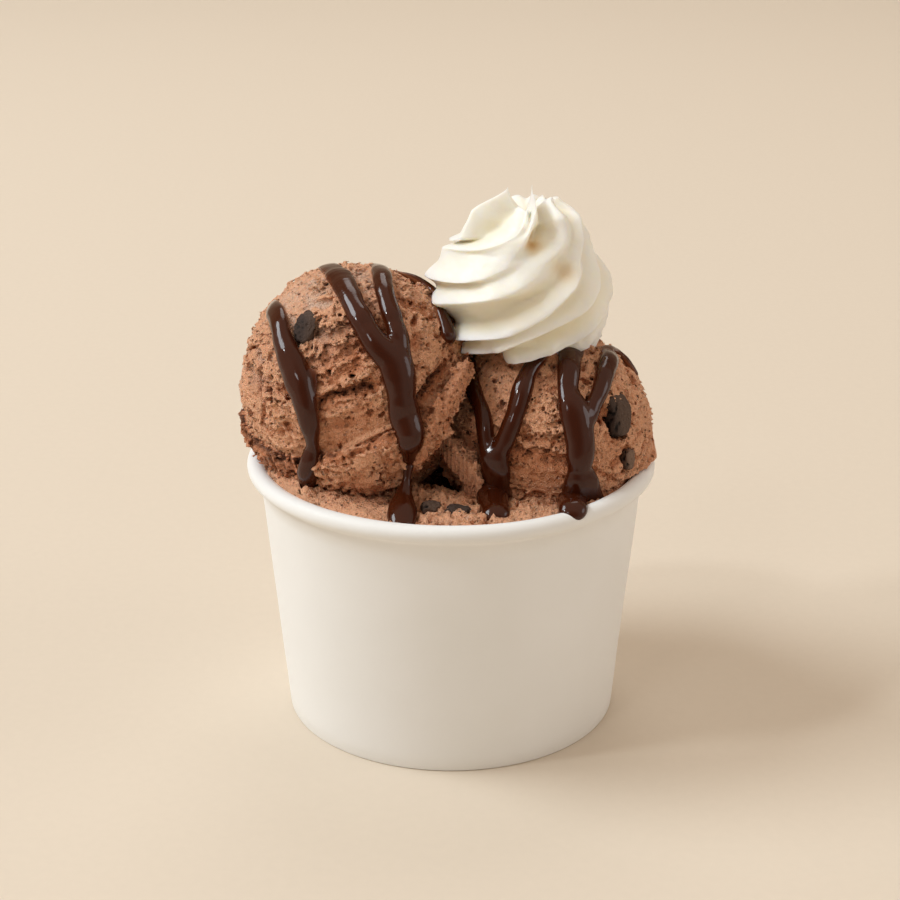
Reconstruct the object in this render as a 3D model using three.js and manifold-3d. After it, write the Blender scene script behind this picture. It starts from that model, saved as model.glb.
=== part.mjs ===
// A chocolate ice cream sundae in a plain paper cup, in millimetres, +Z up.
// The origin is the centre of the cup's foot, on the table. The front of the sundae faces -Y.
import * as THREE from 'three';
import { mergeVertices } from 'three/addons/utils/BufferGeometryUtils.js';
import Module from 'manifold-3d';

const wasm = await Module();
wasm.setup();

// Room kept between neighbouring solids.
const GAP = 0.3;

// Paper cup: a tapered wall with a rolled rim, folded inward at the foot over the base's skirt.
const CUP_HEIGHT = 64.65;
const RIM_RADIUS = 48.5;
const ROLL_HALF_WIDTH = 2.2;
const ROLL_HALF_HEIGHT = 2.1;
const NECK_RADIUS = 45.5;
const FOOT_RADIUS = 39.9;
const PAPER = 0.6;
const SKIRT_PAPER = 0.5;
const HEM_HEIGHT = 6;
const BASE_HEIGHT = 6.4;
const CUP_SEGMENTS = 48;
const ROLL_STEPS = 8;
const NECK_HEIGHT = CUP_HEIGHT - 2 * ROLL_HALF_HEIGHT;

// The ice cream in the cup, under the scoops.
const FILL_LEVEL = 62.6;
const FILL_EDGE_DROP = 0.9;
const FILL_EDGE_WIDTH = 1;
const FILL_RINGS = 6;
// The fill's waves: how high each kind rises, and how many fit in a millimetre.
const FILL_WAVES = [{ height: 0.9, rate: 0.19, seed: 5 }, { height: 0.5, rate: 0.45, seed: 9 }];
const FILL_SPOTS = [
  { x: 3, y: -12, height: -4.8, reach: 9 },
  { x: 1, y: -36, height: 1.6, reach: 7 },
  { x: -33, y: -25, height: 3.4, reach: 11 },
  { x: -42, y: -4, height: 3.2, reach: 11 },
  { x: 20, y: -36, height: 1.2, reach: 10 },
];
const FILL_STREAM_RINGS = 7;
const SEAT_HEIGHT = 57;

// Each scoop is a ball whose skin is torn into ledges along latitudes about a tilted pole.
// A tear runs at one level (the sine of its latitude) from one azimuth to another, seen from
// the front and in degrees, and the collar is the ragged band that the scoop's edge left.
const SCOOP_COLUMNS = 36;
const LEFT_SCOOP = {
  centre: new THREE.Vector3(-21.8, -3, 83),
  radius: 27.3,
  pole: new THREE.Vector3(-0.228, -0.365, 0.902),
  seed: 3,
  tears: [
    { level: 0.94, from: -40, to: 75, depth: 1.3 },
    { level: 0.82, from: -50, to: 60, depth: 1.1 },
    { level: 0.57, from: -30, to: 35, depth: 2.0 },
    { level: 0.45, from: -30, to: 30, depth: 0.9 },
    { level: 0.7, from: 60, to: 330, depth: 1.0 },
    { level: 0.36, from: 75, to: 320, depth: 1.3 },
  ],
  collar: { top: 0.1, bottom: -0.24, flare: 1.9, undercut: 2.6, swing: 0.13, lead: 25 },
};
const RIGHT_SCOOP = {
  centre: new THREE.Vector3(22.3, -2, 69.3),
  radius: 25.5,
  pole: new THREE.Vector3(0.09, -0.55, 0.83),
  seed: 8,
  tears: [
    { level: 0.81, from: -60, to: 40, depth: 1.0 },
    { level: 0.67, from: -50, to: 30, depth: 1.3 },
    { level: 0.42, from: 40, to: 120, depth: 1.1 },
    { level: 0.55, from: 100, to: 300, depth: 1.2 },
  ],
  collar: { top: 0.17, bottom: -0.05, flare: 1.2, undercut: 1.2, swing: 0.06, lead: 130 },
};
const TEAR_LIP = 0.35;
const TEAR_FADE = 14;
const TEAR_RECOVERY = 0.09;
const TEAR_HALF_ROW = 0.011;
const LEVEL_STEP = 0.13;
const TEAR_WANDER = 0.02;
const TORN_HEIGHT = 0.35;
const COLLAR_FOOT = -0.8;
const LOWEST_LEVEL = -0.97;
const LUMP_HEIGHT = 0.8;
const LUMP_RATE = 2.3;

// Fudge streams: each point is an azimuth (from +X towards +Y) and an elevation on the scoop,
// in degrees, and the stream's width there.
const STREAM_SIDES = 8;
const STREAM_STEP = 1.15;
const STREAM_TIP_SINK = 0.2;
const STREAM_RISE = 0.42;
const STREAM_LIFT = 0.1;
const LEFT_STREAMS = [
  [[170, 42, 2.5], [-149, 43, 4], [-131, 32, 4], [-120, 21, 4.5], [-113, 9, 5], [-110, -3, 4.6],
    [-110, -14, 4.2], [-113, -30, 5], [-128, -48, 4.5]],
  [[136, 69, 4.5], [-103, 70, 4.8], [-85, 50, 4.8], [-77, 36, 5], [-68, 24, 5.4], [-67, 12, 5.2],
    [-66, 0, 5], [-65, -10, 4.6], [-64, -20, 3]],
  [[57, 71, 4.5], [-51, 68, 4.3], [-62, 50, 4.5], [-63, 34, 4.6], [-67, 20, 5]],
  [[38, 64, 2.4], [14, 49, 2.4], [-15, 44, 3], [-27, 32, 4]],
];
const RIGHT_STREAMS = [
  [[175, 40, 4.5], [-145, 37, 4], [-130, 25, 4], [-121, 12, 4.6], [-118, 1, 6.2], [-119, -15, 6.2],
    [-121, -27, 4.5]],
  [[-101, 66, 4.6], [-107, 54, 3.8], [-109, 43, 4], [-110, 32, 4.2], [-113, 19, 4], [-117, 8, 4.6]],
  [[-45, 72, 6], [-71, 58, 4.8], [-78, 42, 4.6], [-76, 28, 5.5], [-75, 15, 5.6], [-76, 2, 5],
    [-77, -9, 6.2]],
  [[-8, 54, 4.5], [-39, 50, 5], [-57, 39, 4.6], [-66, 31, 4.6], [-72, 23, 4]],
];
// The fudge that ran down onto the ice cream in the cup: x, y, z and width along its middle.
const FILL_STREAM = [[-10.7, -25, 64.4, 3], [-10.8, -30, 63.6, 6], [-10.8, -35, 63, 6.4], [-10.8, -40, 62, 5]];

// Whipped cream: a six-pointed piped rope, turned as it rises and drawn up into a curled tip.
const CREAM_CENTRE = { x: 16, y: 0.5 };
const CREAM_POINTS = 6;
const CREAM_STEPS_PER_POINT = 8;
const CREAM_ROWS = 20;
const CREAM_TWIST = 10;
const CREAM_TURN = 43;
const CREAM_GROOVE = 0.27;
const CREAM_DROOP = 1.6;
const CREAM_PROFILE = [
  [84.5, 12], [86, 17.5], [88.5, 21], [92, 22.4], [97, 22.8], [102, 22.6], [106, 21.4], [109, 18.9],
  [112, 17], [116, 15.8], [120, 14], [123, 11.6], [125.5, 8.4], [127, 5.4],
];
const CREAM_TIP = { z: 130, lean: 1.4 };

// Cookie pieces: where each one sits, its three half sizes and its turn about Z, in degrees.
const COOKIE_COLUMNS = 8;
const COOKIE_ROWS = 6;
const COOKIE_ROUGHNESS = 0.16;
const COOKIES = [
  { name: 'cookie_left', at: [-32.5, -19.5, 102.2], half: [2.6, 2.6, 4.2], turn: 20, seed: 11 },
  { name: 'cookie_right', at: [37.6, -17.2, 79.6], half: [3.6, 3, 5.2], turn: 35, seed: 12 },
  { name: 'cookie_right_low', at: [40.2, -18.3, 69.9], half: [2, 2, 3.2], turn: 30, seed: 13 },
  { name: 'cookie_front_left', at: [-4.9, -32.4, 62.8], half: [2.5, 2.2, 2], turn: 15, seed: 14 },
  { name: 'cookie_front_right', at: [1.4, -34.6, 63.1], half: [3, 2.4, 2.1], turn: -20, seed: 15 },
];

// ---------------------------------------------------------------- solids and fields

function solidOf(geometry) {
  geometry.deleteAttribute('normal');
  geometry.deleteAttribute('uv');
  const welded = mergeVertices(geometry);
  const place = welded.attributes.position;
  const corners = [];
  let volume = 0;
  const [a, b, c] = [new THREE.Vector3(), new THREE.Vector3(), new THREE.Vector3()];
  for (let i = 0; i < welded.index.count; i += 3) {
    const face = [welded.index.getX(i), welded.index.getX(i + 1), welded.index.getX(i + 2)];
    if (new Set(face).size < 3) continue;
    corners.push(...face);
    [a, b, c].forEach((corner, k) => corner.fromBufferAttribute(place, face[k]));
    volume += a.dot(b.cross(c));
  }
  if (volume < 0) corners.reverse();
  return new wasm.Manifold(new wasm.Mesh({
    numProp: 3,
    vertProperties: new Float32Array(place.array),
    triVerts: new Uint32Array(corners),
  }));
}

function geometryOf(solid) {
  const mesh = solid.getMesh();
  const geometry = new THREE.BufferGeometry();
  geometry.setAttribute('position', new THREE.BufferAttribute(mesh.vertProperties, 3));
  geometry.setIndex(new THREE.BufferAttribute(mesh.triVerts, 1));
  geometry.computeVertexNormals();
  return geometry;
}

// The biggest of a solid's separate bodies, so that a scrap left by a cut is dropped.
function biggest(solid) {
  return solid.decompose().sort((a, b) => b.volume() - a.volume())[0];
}

// A closed skin of rows and columns: its first and last row are single points.
function skinSolid(columns, rows, pointAt) {
  const geometry = new THREE.SphereGeometry(1, columns, rows);
  const place = geometry.attributes.position;
  for (let row = 0; row <= rows; row += 1) {
    const atEnd = row === 0 || row === rows;
    for (let column = 0; column <= columns; column += 1) {
      const point = pointAt(atEnd ? 0 : column % columns, row);
      place.setXYZ(row * (columns + 1) + column, point.x, point.y, point.z);
    }
  }
  return solidOf(geometry);
}

// A ring or disc turned about the Z axis from an outline of [radius, height] points.
function turnedSolid(outline) {
  const points = outline.map(([radius, height]) => new THREE.Vector2(radius, height));
  return solidOf(new THREE.LatheGeometry(points, CUP_SEGMENTS).rotateX(Math.PI / 2));
}

function latticeValue(x, y, z) {
  let mixed = Math.imul(x, 73856093) ^ Math.imul(y, 19349663) ^ Math.imul(z, 83492791);
  mixed = Math.imul(mixed ^ (mixed >>> 13), 1274126177);
  return ((mixed ^ (mixed >>> 16)) >>> 0) / 2147483648 - 1;
}

// Smooth uneven values between -1 and 1, one for each place, always the same.
function unevenness(x, y, z) {
  const [ix, iy, iz] = [Math.floor(x), Math.floor(y), Math.floor(z)];
  const [fx, fy, fz] = [x - ix, y - iy, z - iz].map((t) => t * t * (3 - 2 * t));
  const mix = THREE.MathUtils.lerp;
  const row = (dy, dz) => mix(
    latticeValue(ix, iy + dy, iz + dz),
    latticeValue(ix + 1, iy + dy, iz + dz),
    fx,
  );
  return mix(mix(row(0, 0), row(1, 0), fy), mix(row(0, 1), row(1, 1), fy), fz);
}

function smoothBetween(value, low, high) {
  return THREE.MathUtils.smoothstep(value, Math.min(low, high), Math.max(low, high));
}

// The value of a profile of [place, value] pairs, straight between them.
function along(profile, place) {
  const next = profile.findIndex(([at]) => at >= place);
  if (next === 0) return profile[0][1];
  if (next < 0) return profile[profile.length - 1][1];
  const [[from, low], [to, high]] = [profile[next - 1], profile[next]];
  return low + ((high - low) * (place - from)) / (to - from);
}

// ---------------------------------------------------------------- paper cup

function wallOutside(height) {
  return FOOT_RADIUS + ((NECK_RADIUS - FOOT_RADIUS) * height) / NECK_HEIGHT;
}

function wallInside(height) {
  return wallOutside(height) - PAPER;
}

// The rolled rim's section from the outside of the neck, over the top, to the inside.
function rollOutline(grow) {
  const middle = [RIM_RADIUS - ROLL_HALF_WIDTH, CUP_HEIGHT - ROLL_HALF_HEIGHT];
  const outline = [];
  for (let step = 0; step <= ROLL_STEPS; step += 1) {
    const turn = THREE.MathUtils.degToRad(-70 + (320 * step) / ROLL_STEPS);
    outline.push([
      middle[0] + (ROLL_HALF_WIDTH + grow) * Math.cos(turn),
      middle[1] + (ROLL_HALF_HEIGHT + grow) * Math.sin(turn),
    ]);
  }
  return outline;
}

function makeCupWall() {
  const hemOutside = (height) => wallInside(height) - 2 * GAP - SKIRT_PAPER;
  const hemInside = (height) => hemOutside(height) - SKIRT_PAPER;
  return turnedSolid([
    [hemInside(0), 0],
    [FOOT_RADIUS, 0],
    [wallOutside(NECK_HEIGHT), NECK_HEIGHT],
    ...rollOutline(0).slice(1, -1),
    [wallInside(NECK_HEIGHT), NECK_HEIGHT],
    [wallInside(PAPER), PAPER],
    [hemOutside(PAPER), PAPER],
    [hemOutside(HEM_HEIGHT), HEM_HEIGHT],
    [hemInside(HEM_HEIGHT), HEM_HEIGHT],
    [hemInside(0), 0],
  ]);
}

function makeCupBase() {
  const skirtOutside = (height) => wallInside(height) - GAP;
  const skirtInside = (height) => skirtOutside(height) - SKIRT_PAPER;
  const skirtFoot = PAPER + GAP;
  const top = BASE_HEIGHT + PAPER;
  return turnedSolid([
    [0, BASE_HEIGHT],
    [skirtInside(BASE_HEIGHT), BASE_HEIGHT],
    [skirtInside(skirtFoot), skirtFoot],
    [skirtOutside(skirtFoot), skirtFoot],
    [skirtOutside(top), top],
    [0, top],
  ]);
}

// The upper wall and rim with room round them, which the ice cream keeps clear of.
function cupRoom() {
  const lowest = SEAT_HEIGHT - 10;
  return turnedSolid([
    [wallInside(lowest) - GAP, lowest],
    [wallOutside(lowest) + GAP, lowest],
    [wallOutside(NECK_HEIGHT) + GAP, NECK_HEIGHT],
    ...rollOutline(GAP).slice(1, -1),
    [wallInside(NECK_HEIGHT) - GAP, NECK_HEIGHT],
    [wallInside(lowest) - GAP, lowest],
  ]);
}

// ---------------------------------------------------------------- scoops

function towards(azimuth, elevation) {
  const [turn, rise] = [THREE.MathUtils.degToRad(azimuth), THREE.MathUtils.degToRad(elevation)];
  return new THREE.Vector3(
    Math.cos(rise) * Math.cos(turn),
    Math.cos(rise) * Math.sin(turn),
    Math.sin(rise),
  );
}

// A direction from its level and azimuth about the scoop's pole; azimuth 0 faces the front.
function aboutPole(scoop, level, azimuth) {
  const pole = scoop.pole.clone().normalize();
  const front = new THREE.Vector3(0, -1, 0);
  front.addScaledVector(pole, -front.dot(pole)).normalize();
  const right = new THREE.Vector3().crossVectors(pole, front);
  const turn = THREE.MathUtils.degToRad(azimuth);
  const across = Math.sqrt(Math.max(0, 1 - level * level));
  return pole.multiplyScalar(level)
    .addScaledVector(front, across * Math.cos(turn))
    .addScaledVector(right, across * Math.sin(turn));
}

function lumps(scoop, direction) {
  const { x, y, z } = direction.clone().multiplyScalar(LUMP_RATE).addScalar(scoop.seed * 7.3);
  return LUMP_HEIGHT * unevenness(x, y, z);
}

// 1 inside a span of azimuths, falling to 0 over its last few degrees.
function withinSpan(azimuth, from, to) {
  const place = from + THREE.MathUtils.euclideanModulo(azimuth - from, 360);
  return smoothBetween(place, from, from + TEAR_FADE) * (1 - smoothBetween(place, to - TEAR_FADE, to));
}

function tearRelief(scoop, level, azimuth) {
  let relief = 0;
  for (const tear of scoop.tears) {
    const below = tear.level - level;
    const strength = tear.depth * withinSpan(azimuth, tear.from, tear.to);
    if (below > 0) relief -= strength * Math.exp(-below / TEAR_RECOVERY);
    else relief += strength * TEAR_LIP * Math.exp(below / TEAR_RECOVERY);
  }
  return relief;
}

function collarRelief(scoop, level) {
  const { top, bottom, flare, undercut } = scoop.collar;
  if (level > top) return 0;
  if (level > bottom) return flare;
  return -undercut * (1 - smoothBetween(level, COLLAR_FOOT, bottom));
}

// Levels for the rows of a scoop's skin, with a close pair at every ledge.
function scoopLevels(scoop) {
  const ledges = [...scoop.tears.map(({ level }) => level), scoop.collar.top, scoop.collar.bottom];
  const stops = [1, ...ledges.sort((a, b) => b - a), LOWEST_LEVEL];
  const levels = [1];
  for (let i = 1; i < stops.length; i += 1) {
    const from = i === 1 ? 1 : stops[i - 1] - TEAR_HALF_ROW;
    const to = stops[i] + TEAR_HALF_ROW;
    const steps = Math.max(1, Math.round((from - to) / LEVEL_STEP));
    for (let step = 1; step <= steps; step += 1) levels.push(from + ((to - from) * step) / steps);
    levels.push(stops[i] - TEAR_HALF_ROW);
  }
  levels.push(-1);
  return levels;
}

// The scoop's ball. Its ledges wander a little and the collar is higher on one side.
function scoopBall(scoop, clearance) {
  const levels = scoopLevels(scoop);
  const { swing, lead } = scoop.collar;
  return skinSolid(SCOOP_COLUMNS, levels.length - 1, (column, row) => {
    const azimuth = (360 * column) / SCOOP_COLUMNS - 180;
    const level = levels[row];
    const wander = TEAR_WANDER * unevenness(column * 0.45, row * 0.7, scoop.seed);
    const tilt = swing * Math.sin(THREE.MathUtils.degToRad(azimuth + lead)) * (1 - level * level);
    const fadeAtPoles = Math.min(1, 6 * (1 - Math.abs(level)));
    const placed = THREE.MathUtils.clamp(level + fadeAtPoles * (wander + tilt), -1, 1);
    const direction = aboutPole(scoop, placed, azimuth);
    const relief = tearRelief(scoop, level, azimuth) + collarRelief(scoop, level);
    const ragged = TORN_HEIGHT * unevenness(column * 0.9, row * 1.3, scoop.seed + 20);
    const room = Math.max(relief, 0) + TORN_HEIGHT + TEAR_LIP + clearance;
    const skin = clearance > 0 ? room : relief + ragged;
    const radius = scoop.radius + lumps(scoop, direction) + skin;
    return direction.multiplyScalar(radius).add(scoop.centre);
  });
}

// A fudge stream that lies along a path on a scoop, with its back rounded and its ends drawn in.
function streamSolid(middle, ringCount, clearance) {
  return skinSolid(STREAM_SIDES, ringCount + 1, (column, row) => {
    const part = THREE.MathUtils.clamp((row - 1) / (ringCount - 1), 0, 1);
    const { place, up, side, width } = middle(part);
    if (row === 0 || row === ringCount + 1) return place.addScaledVector(up, -STREAM_TIP_SINK * width);
    const turn = (2 * Math.PI * column) / STREAM_SIDES;
    return place
      .addScaledVector(side, (width / 2 + clearance) * Math.cos(turn))
      .addScaledVector(up, (width * STREAM_RISE + clearance) * Math.sin(turn));
  });
}

function frameAlong(placeAt, upAt, widths, part) {
  const ahead = placeAt(Math.min(1, part + 0.01));
  const forward = ahead.sub(placeAt(Math.max(0, part - 0.01))).normalize();
  const up = upAt(part);
  const side = new THREE.Vector3().crossVectors(forward, up).normalize();
  const last = widths.length - 1;
  const from = Math.min(last - 1, Math.floor(part * last));
  const width = THREE.MathUtils.lerp(widths[from], widths[from + 1], part * last - from);
  return { place: placeAt(part), up, side, width };
}

function scoopStream(scoop, path, clearance) {
  const route = new THREE.CatmullRomCurve3(path.map(([azimuth, rise]) => towards(azimuth, rise)));
  const widths = path.map((point) => point[2]);
  const upAt = (part) => route.getPoint(part).normalize();
  const placeAt = (part) => {
    const up = upAt(part);
    const skin = scoop.radius + lumps(scoop, up);
    return up.multiplyScalar(skin + STREAM_LIFT * widths[0]).add(scoop.centre);
  };
  const ringCount = Math.round((route.getLength() * scoop.radius) / (STREAM_STEP * widths[0]));
  return streamSolid((part) => frameAlong(placeAt, upAt, widths, part), ringCount, clearance);
}

function joined(solids) {
  return solids.reduce((whole, solid) => whole.add(solid));
}

// Everything of a scoop: its ball and its streams, over the seat that it has in the cup.
function scoopWithStreams(scoop, streams, clearance) {
  const whole = joined([
    scoopBall(scoop, clearance),
    ...streams.map((path) => scoopStream(scoop, path, clearance)),
  ]);
  return whole.subtract(blockBelow(SEAT_HEIGHT - clearance));
}

function blockBelow(height) {
  const size = 4 * RIM_RADIUS;
  return solidOf(new THREE.BoxGeometry(size, size, size).translate(0, 0, height - size / 2));
}

// ---------------------------------------------------------------- ice cream in the cup

function fillHeight(x, y) {
  let height = FILL_LEVEL;
  for (const wave of FILL_WAVES) {
    height += wave.height * unevenness(x * wave.rate, y * wave.rate, wave.seed);
  }
  for (const spot of FILL_SPOTS) {
    const away = ((x - spot.x) ** 2 + (y - spot.y) ** 2) / spot.reach ** 2;
    height += spot.height * Math.exp(-away);
  }
  return height;
}

function makeFill(rooms) {
  const floor = BASE_HEIGHT + PAPER + GAP;
  const edge = wallInside(FILL_LEVEL) - 3 * GAP;
  const outline = [[0, floor], [wallInside(floor) - GAP, floor], [edge, FILL_LEVEL - FILL_EDGE_DROP]];
  for (let ring = FILL_RINGS; ring >= 0; ring -= 1) {
    outline.push([(edge - FILL_EDGE_WIDTH) * (ring / FILL_RINGS), FILL_LEVEL]);
  }
  const points = outline.map(([radius, height]) => new THREE.Vector2(radius, height));
  const geometry = new THREE.LatheGeometry(points, CUP_SEGMENTS).rotateX(Math.PI / 2);
  const place = geometry.attributes.position;
  for (let i = 0; i < place.count; i += 1) {
    if (place.getZ(i) >= FILL_LEVEL - 0.01) place.setZ(i, fillHeight(place.getX(i), place.getY(i)));
  }
  const route = new THREE.CatmullRomCurve3(FILL_STREAM.map(([x, y, z]) => new THREE.Vector3(x, y, z)));
  const middle = (part) => frameAlong(
    (at) => route.getPoint(at),
    () => new THREE.Vector3(0, 0, 1),
    FILL_STREAM.map((point) => point[3]),
    part,
  );
  const whole = solidOf(geometry).add(streamSolid(middle, FILL_STREAM_RINGS, 0));
  return rooms.reduce((left, room) => left.subtract(room), whole);
}

// ---------------------------------------------------------------- whipped cream

function creamPoint(column, row) {
  const columns = CREAM_POINTS * CREAM_STEPS_PER_POINT;
  const lowest = CREAM_PROFILE[0][0];
  const highest = CREAM_PROFILE[CREAM_PROFILE.length - 1][0];
  const part = THREE.MathUtils.clamp((row - 1) / (CREAM_ROWS - 2), 0, 1);
  const height = lowest + (highest - lowest) * part;
  const axis = new THREE.Vector3(CREAM_CENTRE.x, CREAM_CENTRE.y, height);
  axis.x += CREAM_TIP.lean * part ** 3;
  if (row === 0) return axis;
  if (row === CREAM_ROWS) return axis.setZ(CREAM_TIP.z);
  const inLobe = ((column % CREAM_STEPS_PER_POINT) / CREAM_STEPS_PER_POINT) * 2 - 1;
  const valley = 1 - inLobe * inLobe;
  const turn = (360 * column) / columns + CREAM_TURN + CREAM_TWIST * (height - lowest);
  const radius = along(CREAM_PROFILE, height) * (1 - CREAM_GROOVE * valley);
  const outward = towards(turn, 0);
  const uneven = 0.5 * unevenness(column * 0.3, row * 0.4, 31);
  return axis.addScaledVector(outward, radius + uneven).setZ(height - CREAM_DROOP * (1 - valley) * (1 - part));
}

function makeCream(rooms) {
  const whole = skinSolid(CREAM_POINTS * CREAM_STEPS_PER_POINT, CREAM_ROWS, creamPoint);
  return rooms.reduce((left, room) => left.subtract(room), whole);
}

// ---------------------------------------------------------------- cookie pieces

function cookieSolid({ at, half, turn, seed }, clearance) {
  return skinSolid(COOKIE_COLUMNS, COOKIE_ROWS, (column, row) => {
    const azimuth = (360 * column) / COOKIE_COLUMNS + 25 * (row % 2);
    const elevation = 90 - (180 * row) / COOKIE_ROWS;
    const outward = towards(azimuth, elevation);
    const rough = 1 + COOKIE_ROUGHNESS * unevenness(column * 1.7, row * 1.9, seed);
    const boxy = 1 / Math.max(Math.abs(outward.x), Math.abs(outward.y), Math.abs(outward.z)) ** 0.45;
    outward.multiplyScalar(rough * boxy);
    const [x, y, z] = [outward.x * half[0], outward.y * half[1], outward.z * half[2]];
    const placed = new THREE.Vector3(x, y, z);
    placed.setLength(placed.length() + clearance);
    placed.applyAxisAngle(new THREE.Vector3(0, 0, 1), THREE.MathUtils.degToRad(turn));
    return placed.add(new THREE.Vector3(...at));
  });
}

// ---------------------------------------------------------------- the sundae

const paper = { color: 0xf1efea, roughness: 0.6, metalness: 0 };
const chocolate = { color: 0xa9714f, roughness: 0.55, metalness: 0 };
const cream = { color: 0xf6f1e4, roughness: 0.5, metalness: 0 };
const cookie = { color: 0x3b2a24, roughness: 0.8, metalness: 0 };

const leftRoom = scoopWithStreams(LEFT_SCOOP, LEFT_STREAMS, GAP);
const rightRoom = scoopWithStreams(RIGHT_SCOOP, RIGHT_STREAMS, GAP);
const cookieRooms = COOKIES.map((piece) => cookieSolid(piece, GAP * 1.5));
const cup = cupRoom();

const leftScoop = [cup, ...cookieRooms].reduce(
  (left, room) => left.subtract(room),
  scoopWithStreams(LEFT_SCOOP, LEFT_STREAMS, 0),
);
const rightScoop = [leftRoom, cup, ...cookieRooms].reduce(
  (left, room) => left.subtract(room),
  scoopWithStreams(RIGHT_SCOOP, RIGHT_STREAMS, 0),
);

const sundae = new THREE.Group();

function addPiece(name, solid, finish) {
  const piece = new THREE.Mesh(geometryOf(biggest(solid)), new THREE.MeshStandardMaterial(finish));
  piece.name = name;
  sundae.add(piece);
}

addPiece('cup_wall', makeCupWall(), paper);
addPiece('cup_base', makeCupBase(), paper);
addPiece('ice_cream_fill', makeFill([leftRoom, rightRoom, cup, ...cookieRooms]), chocolate);
addPiece('scoop_left', leftScoop, chocolate);
addPiece('scoop_right', rightScoop, chocolate);
addPiece('whipped_cream', makeCream([leftRoom, rightRoom]), cream);
COOKIES.forEach((piece) => addPiece(piece.name, cookieSolid(piece, 0), cookie));

export default sundae;
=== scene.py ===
"""A chocolate ice cream sundae in a plain paper cup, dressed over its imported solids.

Sizes in the classes are in millimetres and angles in degrees. Meshes are written in metres. The
origin is the centre of the cup's foot, +Z is up and the front of the sundae faces -Y.
"""
from __future__ import annotations

import logging
import math
from dataclasses import dataclass, field
from enum import Enum

import bpy
import numpy as np
import openvdb
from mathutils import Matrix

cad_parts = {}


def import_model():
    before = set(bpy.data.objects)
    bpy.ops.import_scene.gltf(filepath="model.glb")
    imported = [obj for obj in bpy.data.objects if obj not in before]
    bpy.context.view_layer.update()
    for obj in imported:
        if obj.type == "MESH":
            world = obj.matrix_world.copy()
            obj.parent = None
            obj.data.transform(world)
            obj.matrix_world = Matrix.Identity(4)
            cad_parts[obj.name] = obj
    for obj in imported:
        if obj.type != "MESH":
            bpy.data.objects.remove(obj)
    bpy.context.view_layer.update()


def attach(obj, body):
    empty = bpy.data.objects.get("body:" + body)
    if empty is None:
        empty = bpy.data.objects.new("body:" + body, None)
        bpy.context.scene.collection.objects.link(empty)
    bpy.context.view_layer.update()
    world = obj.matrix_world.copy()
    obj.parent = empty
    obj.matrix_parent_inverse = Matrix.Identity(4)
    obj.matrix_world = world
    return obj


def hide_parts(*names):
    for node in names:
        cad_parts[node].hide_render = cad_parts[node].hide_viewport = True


MM = 0.001
BODY = "root"
LOG = logging.getLogger("sundae")

Triple = tuple[float, float, float]
Colour = tuple[float, float, float]
Pairs = tuple[tuple[float, float], ...]
Rows = tuple[tuple[float, float, float, float], ...]
Material = bpy.types.Material
Socket = bpy.types.NodeSocket

# Cup sizes that the food is fitted to.
CUP_HEIGHT = 64.65
RIM_RADIUS = 48.5
ROLL_HALF_WIDTH = 2.2
ROLL_HALF_HEIGHT = 2.1
NECK_RADIUS = 45.5
NECK_HEIGHT = CUP_HEIGHT - 2 * ROLL_HALF_HEIGHT
FOOT_RADIUS = 39.9
PAPER = 0.6
MOUTH_RADIUS = RIM_RADIUS - 2 * ROLL_HALF_WIDTH - 0.2
FILL_LEVEL = 62.6
SEAT_HEIGHT = 57.0


class Slot(Enum):
    """The record's material slots."""

    PAPER = "paper"
    ICE_CREAM = "ice_cream"
    WHIPPED_CREAM = "whipped_cream"
    COOKIE = "cookie"


# ---------------- numbers and fields


def lattice_value(x: np.ndarray, y: np.ndarray, z: np.ndarray) -> np.ndarray:
    """Gives every lattice point a fixed value between -1 and 1.

    Args:
        x, y, z: whole numbers, as unsigned 32-bit arrays.

    Returns:
        The values, one for each point.
    """
    mixed = x * np.uint32(73856093) ^ y * np.uint32(19349663) ^ z * np.uint32(83492791)
    mixed = (mixed ^ (mixed >> np.uint32(13))) * np.uint32(1274126177)
    return (mixed ^ (mixed >> np.uint32(16))).astype(np.float32) / np.float32(2147483648.0) - 1


def unevenness(place: np.ndarray, seed: int = 0) -> np.ndarray:
    """Smooth uneven values between -1 and 1, always the same for one place.

    Args:
        place: points, one in each row.
        seed: moves the whole pattern.

    Returns:
        One value for each point.
    """
    moved = place.astype(np.float32) + np.float32(7.3 * seed)
    cell = np.floor(moved)
    part = moved - cell
    part = part * part * (3 - 2 * part)
    low = cell.astype(np.int64).astype(np.uint32)
    high = low + np.uint32(1)
    value = np.zeros(len(place), np.float32)
    for dx, x in enumerate((low[:, 0], high[:, 0])):
        wx = part[:, 0] if dx else 1 - part[:, 0]
        for dy, y in enumerate((low[:, 1], high[:, 1])):
            wxy = wx * (part[:, 1] if dy else 1 - part[:, 1])
            for dz, z in enumerate((low[:, 2], high[:, 2])):
                value += wxy * (part[:, 2] if dz else 1 - part[:, 2]) * lattice_value(x, y, z)
    return value


def smooth_between(value: np.ndarray, low: float, high: float) -> np.ndarray:
    """Rises smoothly from 0 at `low` to 1 at `high`, or falls where `high` is the lower one."""
    part = np.clip((value - low) / (high - low), 0, 1)
    return part * part * (3 - 2 * part)


def bump_at(distance: np.ndarray, reach: float) -> np.ndarray:
    """A round bump: 1 at no distance, falling towards 0 past `reach`."""
    return np.exp(-np.square(distance / reach))


def smooth_least(first: np.ndarray, second: np.ndarray, blend: float) -> np.ndarray:
    """The lower of two fields, with the crease between them rounded over `blend`."""
    part = np.clip(0.5 + 0.5 * (second - first) / blend, 0, 1)
    return second + (first - second) * part - blend * part * (1 - part)


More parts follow.
